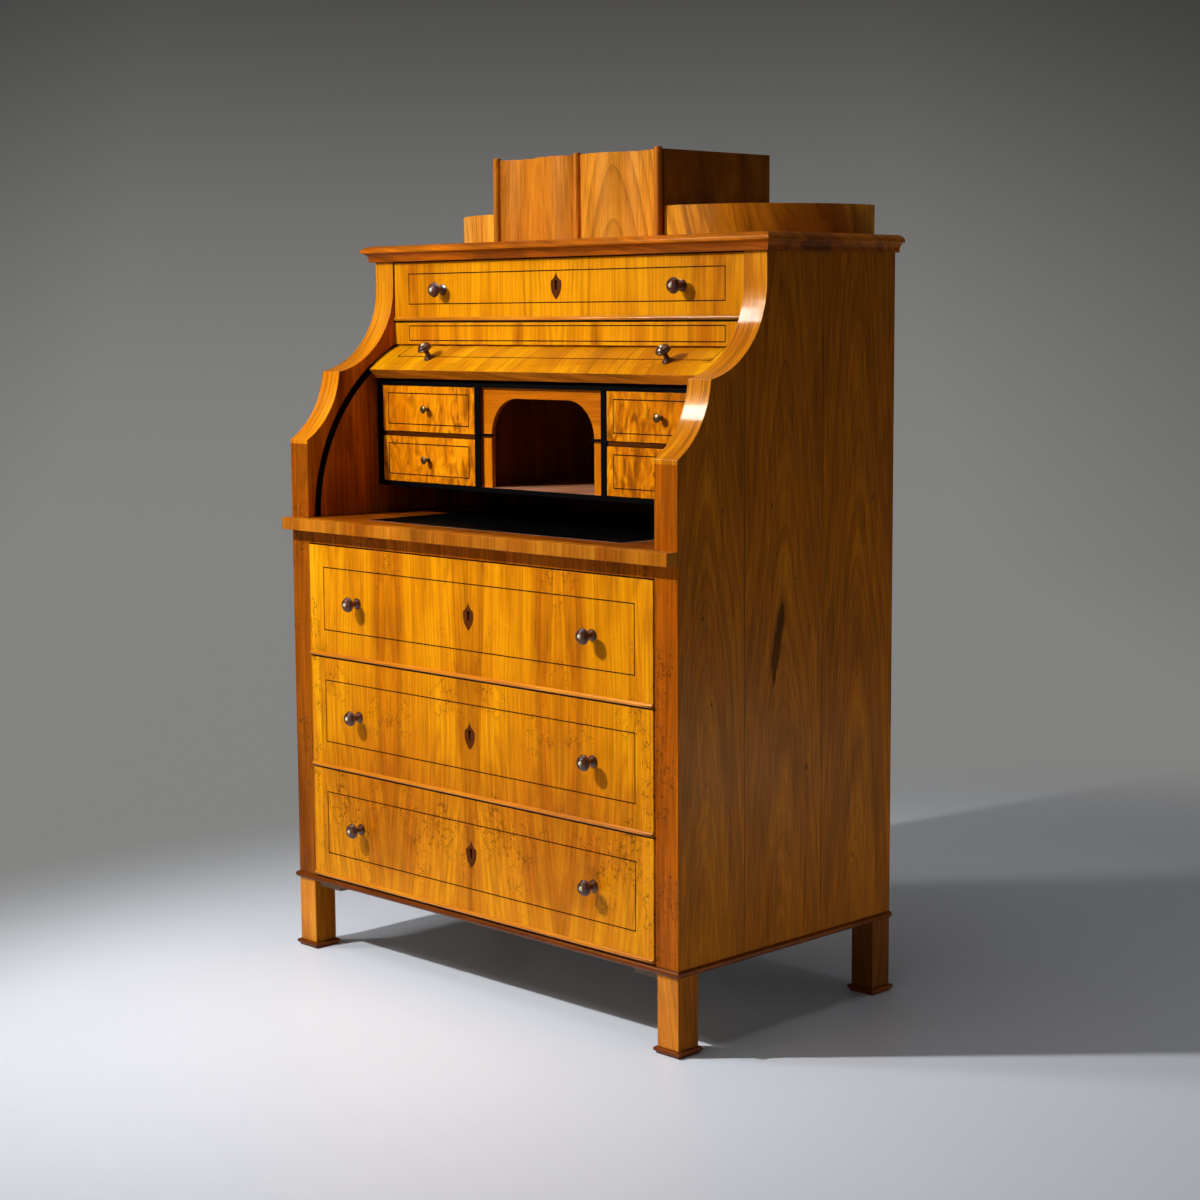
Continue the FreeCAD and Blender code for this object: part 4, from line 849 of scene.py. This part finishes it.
def bentCut(point):
    reach = math.hypot(point.y - desk["axisY"], point.z - desk["axisZ"])
    along = desk["rollRadius"] * math.atan2(point.z - desk["axisZ"], desk["axisY"] - point.y)
    return Vector((abs(point.x) + 0.12 + 0.16 * along, 0.04 + 0.3 * (reach - desk["rollRadius"]),
                   along + 0.3 * sideOf(point.x)))


def rollRule(face, box):
    return "rollVeneer", "veneer", lambda: bentCut


def railRule(face, box):
    middle = centreOf(face)
    inwards = face.normal.dot(Vector((0, desk["axisY"] - middle.y, desk["axisZ"] - middle.z)))
    return rollRule(face, box) if inwards < -0.25 else ("railWood", "rail", lambda: anyCut(box, "x"))


dress("roll_panel", rollRule, ease=0.0, splits=[("x", 0.0)])
dress("roll_rail", railRule, ease=0.0006, splits=[("x", 0.0)])


# Pigeonhole cabinet

nicheLook = {"floorBelow": 0.85, "board": 0.05, "archFrom": 0.9285}


def nicheRule(face, box):
    size = box[1] - box[0]
    # dark boards and near-black board edges are painted shade, the paler floor is painted light
    finish = "nicheWood"
    if face.normal.z > 0.9 and centreOf(face).z < nicheLook["floorBelow"]:
        finish = "nicheFloor"
    elif face.normal.y < -0.5 and size.y > nicheLook["board"]:
        finish = "dividerEdge"
    return finish, 0, lambda: anyCut(box, "z" if size.z > nicheLook["board"] else "x")


def archRule(face, box):
    top = centreOf(face).z > nicheLook["archFrom"]
    return "archWood", top, lambda: anyCut(box, "x" if top else "z")


dress("pigeonhole_boards", nicheRule, ease=0.0)
dress("niche_arch", archRule, ease=0.0004, splits=[("z", nicheLook["archFrom"])])
for name in smallDrawers:
    dress(f"{name}_front", plain("burrVeneer", "z"), ease=0.0004)


# Attic: the pith of each panel, left and right, and how the board slopes to it

atticLook = {-1.0: dict(finish="panelSoft", slope=0.16, start=1.2),
             1.0: dict(finish="panelVeneer", slope=0.25, start=1.26)}


def panelRule(face, box):
    side = sideOf(centreOf(face).x)
    look = atticLook[side]
    return look["finish"], side, lambda: cut("z", "x", centre=side * 0.093, depth=0.012, slope=look["slope"],
                                             start=look["start"])


dress("attic_panels", panelRule, ease=0.0005)
dress("attic_columns", plain("columnWood", "z"), ease=0.0)
dress("attic_case", plain("atticBoard", "z"), ease=0.0005)
# the left wing gets a paler copy of the wing veneer than the right: painted light
dress("attic_wings", chosen(lambda face, box: "wingVeneer" if box[0].x > 0 else "wingPale", "z"), ease=0.0005)
print("upper part dressed")


# Small shaping helpers

def lathe(work, profile, place, axis, turns=40):
    # profile points are (radius, height, finish index); the axis points away from what carries the piece
    up = axis.normalized()
    side = up.orthogonal().normalized()
    other = up.cross(side)
    angles = [2 * math.pi * k / turns for k in range(turns)]
    rings = []
    for radius, height, _ in profile:
        middle = place + up * height
        if radius < 1e-6:
            rings.append([work.verts.new(middle)])
        else:
            rings.append([work.verts.new(middle + radius * (math.cos(a) * side + math.sin(a) * other)) for a in angles])
    for low, high, (_, _, kind) in zip(rings, rings[1:], profile[1:]):
        for k in range(turns):
            n = (k + 1) % turns
            if len(low) == 1:
                corners = (low[0], high[k], high[n])
            elif len(high) == 1:
                corners = (low[k], high[0], low[n])
            else:
                corners = (low[k], high[k], high[n], low[n])
            face = work.faces.new(corners)
            face.smooth = True
            face.material_index = kind


def bridge(work, ring, after, kind=0):
    # the four faces between two rings of four corners
    for k in range(4):
        n = (k + 1) % 4
        work.faces.new((ring[k], ring[n], after[n], after[k])).material_index = kind


def closeMesh(work, name, angle=38):
    bmesh.ops.recalc_face_normals(work, faces=work.faces)
    mesh = bpy.data.meshes.new(name)
    work.to_mesh(mesh)
    work.free()
    mesh.set_sharp_from_angle(angle=math.radians(angle))
    return mesh


# Turned knobs: base, waist, round head with a ring and a bone dot. The profiles are in millimetres, the rest in metres.

knobLook = {
    "wood": [(0, 0), (9.75, 0), (9.75, 1.4), (9.2, 2.3), (7.6, 2.9), (6.0, 3.9), (4.8, 5.8), (4.3, 8.4), (4.3, 11.2),
             (5.0, 13.4), (6.8, 15.4), (9.6, 16.9), (12.2, 18.1), (13.1, 19.2), (13.25, 20.4), (12.7, 21.6),
             (11.6, 22.5), (10.9, 22.7), (11.2, 23.3), (11.4, 24.3), (11.0, 25.4), (9.9, 26.4), (8.6, 27.0),
             (8.0, 26.9), (7.4, 26.2), (6.9, 26.7), (5.8, 27.5), (4.4, 27.9), (3.9, 27.9), (3.7, 27.6)],
    "dot": [(3.5, 27.8), (3.1, 28.7), (2.2, 29.5), (1.1, 29.9), (0, 30.0)],
    "small": [(0, 0), (4.2, 0), (4.2, 0.8), (3.3, 1.5), (2.4, 3.0), (2.2, 6.0), (2.6, 8.4), (4.2, 9.6), (6.4, 10.2),
              (7.0, 10.9), (7.0, 11.9), (6.6, 12.6), (5.9, 12.9), (5.6, 12.7), (5.2, 12.9), (3.0, 13.6), (1.5, 13.9),
              (0, 14.0)],
    "apart": 0.2905, "length": 0.03, "smallLength": 0.014, "overEdge": 0.036,
}


def profileOf(*parts):
    return [(r / 1000, h / 1000, kind) for kind, part in enumerate(parts) for r, h in knobLook[part]]


def knobPair(node):
    low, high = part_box(node)
    work = bmesh.new()
    for x in (-knobLook["apart"], knobLook["apart"]):
        place = Vector((x, low.y + knobLook["length"], (low.z + high.z) / 2))
        axis = Vector((0, -1, 0))
        if node == "roll_knobs":
            angle = math.radians(desk["openAngle"]) + knobLook["overEdge"] / desk["rollRadius"]
            axis = Vector((0, -math.cos(angle), math.sin(angle)))
            place = Vector((x, desk["axisY"], desk["axisZ"])) + axis * desk["rollRadius"]
        lathe(work, profileOf("wood", "dot"), place, axis)
    addPiece(f"{node}_turned", closeMesh(work, node, 30), ("turnedWood", "boneDot"), bodyOf[node], "turned_wood",
             (node,))


for name in (*longDrawers, "top_drawer", "roll"):
    knobPair(f"{name}_knobs")
for name in smallDrawers:
    node = f"{name}_knob"
    low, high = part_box(node)
    work = bmesh.new()
    place = Vector(((low.x + high.x) / 2, low.y + knobLook["smallLength"], (low.z + high.z) / 2))
    lathe(work, profileOf("small"), place, Vector((0, -1, 0)))
    addPiece(f"{node}_turned", closeMesh(work, node, 50), ("agedBrass",), bodyOf[node], "brass", (node,))
print("knobs turned")


# Stringing: thin dark lines let into the veneer. The section is in millimetres, the rest in metres.

stringLook = {"width": 1.9, "proud": 0.06, "deep": 0.25, "onFront": 0.0017, "halfX": 0.3833, "upperHalfX": 0.383,
              "smallX": 0.015, "smallZ": 0.013, "rollHalfX": 0.38, "overEdge": 0.040, "rollStep": 2.5, "rollSteps": 24}
stringHalf, stringProud, stringDeep = stringLook["width"] / 2000, stringLook["proud"] / 1000, stringLook["deep"] / 1000


def stringFrame(name, body, halfX, lowZ, highZ, faceY, middleX=0.0):
    out, inn = faceY - stringProud, faceY + stringDeep
    work = bmesh.new()
    rings = []
    for grow, y in ((stringHalf, inn), (stringHalf, out), (-stringHalf, out), (-stringHalf, inn)):
        rings.append([work.verts.new((middleX + sx * (halfX + grow), y, (highZ + grow) if sz > 0 else (lowZ - grow)))
                      for sx, sz in ((-1, -1), (1, -1), (1, 1), (-1, 1))])
    for ring, after in zip(rings, rings[1:] + rings[:1]):
        bridge(work, ring, after)
    addPiece(name, closeMesh(work, name), ("stringInlay",), body, "black_wood")


frontY, friezeY = desk["frontY"] - stringLook["onFront"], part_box("frieze_panel")[0].y
for name, lowZ, highZ in zip(longDrawers, (0.1842, 0.3854, 0.5851), (0.2945, 0.4953, 0.6955)):
    stringFrame(f"{name}_string", name, stringLook["halfX"], lowZ, highZ, frontY)
stringFrame("top_drawer_string", "top_drawer", stringLook["upperHalfX"], 1.1534, 1.2067, friezeY)
stringFrame("frieze_string", "carcase", stringLook["upperHalfX"], 1.0890, 1.1146, friezeY)
for name in smallDrawers:
    low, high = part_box(f"{name}_front")
    stringFrame(f"{name}_string", name, (high.x - low.x) / 2 - stringLook["smallX"], low.z + stringLook["smallZ"],
                high.z - stringLook["smallZ"], low.y, (low.x + high.x) / 2)


def rollString():
    # one line along the leading edge and one up each end, bent with the roll
    radius, w, endX = desk["rollRadius"], stringHalf, stringLook["rollHalfX"]
    edge = math.radians(desk["openAngle"]) + stringLook["overEdge"] / radius
    low, high = edge - w / radius, edge + w / radius
    out, inn = radius + stringProud, radius - stringDeep
    work = bmesh.new()

    def bent(x, angle, reach):
        return work.verts.new((x, desk["axisY"] - reach * math.cos(angle), desk["axisZ"] + reach * math.sin(angle)))

    def strip(rows):
        rows = [[bent(*corner) for corner in row] for row in rows]
        for row, after in zip(rows, rows[1:]):
            bridge(work, row, after)
        work.faces.new(rows[0])
        work.faces.new(rows[-1])

    strip([[(x, low, out), (x, high, out), (x, high, inn), (x, low, inn)] for x in (-endX - w, endX + w)])
    angles = [high + k * math.radians(stringLook["rollStep"]) for k in range(stringLook["rollSteps"])]
    for x in (-endX, endX):
        strip([[(x - w, a, out), (x + w, a, out), (x + w, a, inn), (x - w, a, inn)] for a in angles])
    addPiece("roll_string", closeMesh(work, "roll_string", 30), ("stringInlay",), "roll", "black_wood")


rollString()
print("stringing let in")


# Leather: a thin skin with two blind-tooled lines round its edge, millimetres

leatherLook = {"lines": (14, 19), "lineWidth": 1.1, "lineDepth": 0.3, "edge": 1.4, "edgeDrop": 0.3, "field": 30}


def leatherSkin():
    low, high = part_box("writing_leather")
    look = {key: value / 1000 for key, value in leatherLook.items() if key != "lines"}
    steps = [(0.0, low.z), (0.0, high.z - look["edgeDrop"]), (look["edge"], high.z)]
    half = look["lineWidth"] / 2
    for inset in leatherLook["lines"]:
        for place, drop in ((-half, 0.0), (-half * 0.4, 1.0), (half * 0.4, 1.0), (half, 0.0)):
            steps.append((inset / 1000 + place, high.z - drop * look["lineDepth"]))
    steps.append((look["field"], high.z))
    work = bmesh.new()
    rings = []
    for d, z in steps:
        left, right, fore, rear = low.x + d, high.x - d, low.y + d, high.y - d
        rings.append([work.verts.new((x, y, z)) for x, y in ((left, fore), (right, fore), (right, rear), (left, rear))])
    # the bevelled rim takes the second finish, a pale copy of the leather: painted highlight
    for step, (ring, after) in enumerate(zip(rings, rings[1:])):
        bridge(work, ring, after, 1 if step == 1 else 0)
    work.faces.new(rings[0])
    work.faces.new(rings[-1])
    addPiece("writing_leather_skin", closeMesh(work, "leather", 60), ("writingLeather", "leatherEdge"),
             bodyOf["writing_leather"], "black_leather", ("writing_leather",))


leatherSkin()

# Carried-over CAD nodes and their finishes
carried = {
    "bottom_board": "oldPine", "top_drawer_shelf": "pineX", "leg_blocks": "oldPine", "dust_boards": "pineX",
    "drawer_guides": "pineY", "pigeonhole_facings": "blackWood",
}
for name in (*longDrawers, "top_drawer"):
    carried[f"{name}_lock"] = "oldIron"
for name in (*longDrawers, "top_drawer", *smallDrawers):
    carried[f"{name}_box"] = "pineY"
for node, finish in carried.items():
    for slot in nodes[node].material_slots:
        slot.material = finishes[finish]
print("carried-over nodes finished:", len(carried))


# Studio: a pale floor that turns up into a round wall, and soft light from the front left

studio = {"floor": (0.77, 0.815, 0.9), "low": (0.23, 0.228, 0.222), "high": (0.052, 0.05, 0.048), "radius": 11.0,
          "bend": 5.0, "height": 9.0, "world": (0.06, 0.058, 0.053), "turns": 96, "bendSteps": 12}
plainLamp = dict(along=(0, 0, 1), spread=120, tint=(1.0, 1.0, 1.0))
lamps = {
    "key": dict(plainLamp, place=(-0.74, -1.5, 1.9), aim=(0.3, -0.24, 0.4), size=(0.07, 0.07), power=16, spread=105,
                tint=(1.0, 0.99, 0.97)),
    "strip": dict(plainLamp, place=(-2.9, -2.7, 3.5), aim=(0.3, -0.1, 1.1), along=(0, 1.27, 1.7), size=(0.35, 1.05),
                  power=23, tint=(1.0, 0.99, 0.98)),
    "fill": dict(plainLamp, place=(-0.8, -5.2, 1.3), aim=(0, 0, 0.6), size=(3.0, 2.0), power=11),
    "card": dict(plainLamp, place=(2.0, 0.95, 0.06), aim=(0.47, 0.0, 0.2), size=(1.2, 0.2), power=1.5, spread=95,
                 tint=(1.0, 0.98, 0.95)),
    "pool": dict(plainLamp, place=(-1.5, -1.0, 2.3), aim=(-0.8, -0.75, 0), along=(0, 1, 0), size=(0.4, 0.4), power=1.2,
                 spread=60, tint=(0.97, 0.99, 1.0)),
    "over": dict(plainLamp, place=(0.0, -0.6, 4.4), aim=(0, 0, 0), along=(0, 1, 0), size=(2.4, 2.4), power=19,
                 spread=150),
}


def stageMaterial(name):
    # the floor is plain paint; far off, the camera and reflections see a painted glow instead: an emitted grey that
    # deepens upwards and dims towards the sides, painted light
    t = Tree(name)
    place = t.place()
    t.feed("Base Color", t.mix(t.times(t.noise(place, 3), 0.05), studio["floor"], studio["low"]))
    t.feed("Roughness", 0.4)
    t.feed("Specular IOR Level", 0.3)
    glow = t.add("ShaderNodeEmission")
    height = t.math("DIVIDE", t.parts(place)[2], 4.0)
    t.link(t.ramp(height, (0.0, studio["low"]), (1.0, studio["high"]), smooth=True), glow.inputs["Color"])
    aside = t.scale(t.vector("DOT_PRODUCT", place, (0.7, 0.713, 0)), 0.1, 0.5)
    t.link(t.ramp(aside, (0.12, 0.76), (0.24, 1.0), (0.68, 0.97), (0.87, 0.6)), glow.inputs["Strength"])
    path = t.add("ShaderNodeLightPath").outputs
    mirrored = t.math("MAXIMUM", path["Is Glossy Ray"], path["Is Transmission Ray"])
    seen = t.math("MAXIMUM", path["Is Camera Ray"], mirrored)
    reach = t.vector("LENGTH", t.stretch(t.vector("SUBTRACT", place, (0.45, 0, 0)), 1.05, 0.75, 1))
    away = t.ramp(t.math("DIVIDE", reach, 4.0), (0.27, 0.0), (0.51, 1.0), smooth=True)
    both = t.add("ShaderNodeMixShader")
    t.link(t.fill(both, (t.times(seen, away), t.shader.outputs[0], glow.outputs[0])), t.out.inputs["Surface"])
    return t.material


def makeStudio():
    bend, flat, steps = studio["bend"], studio["radius"] - studio["bend"], studio["bendSteps"]
    profile = [(0.0, 0.0), (2.0, 0.0), (flat, 0.0)]
    for k in range(1, steps + 1):
        a = k / steps * math.pi / 2
        profile.append((flat + bend * math.sin(a), bend * (1 - math.cos(a))))
    profile.append((studio["radius"], studio["height"]))
    work = bmesh.new()
    lathe(work, [(r, z, 0) for r, z in profile], Vector((0, 0, 0)), Vector((0, 0, 1)), studio["turns"])
    mesh = closeMesh(work, "studio_floor", 60)
    mesh.materials.append(stageMaterial("floorWithPaintedGlow"))
    floor = bpy.data.objects.new("studio_floor", mesh)
    scene.collection.objects.link(floor)
    for name, lamp in lamps.items():
        data = bpy.data.lights.new(name, "AREA")
        data.shape = "RECTANGLE"
        data.size, data.size_y = lamp["size"]
        data.energy = lamp["power"]
        data.spread = math.radians(lamp["spread"])
        data.color = lamp["tint"]
        light = bpy.data.objects.new(name, data)
        back = (Vector(lamp["place"]) - Vector(lamp["aim"])).normalized()
        side = Vector(lamp["along"]).cross(back).normalized()
        turn = Matrix((side, back.cross(side), back)).transposed()
        light.matrix_world = Matrix.Translation(lamp["place"]) @ turn.to_4x4()
        scene.collection.objects.link(light)
    world = bpy.data.worlds.new("studio")
    world.use_nodes = True
    world.node_tree.nodes["Background"].inputs["Color"].default_value = (*studio["world"], 1)
    scene.world = world


makeStudio()
scene.view_settings.view_transform = "Standard"
print("studio lit")
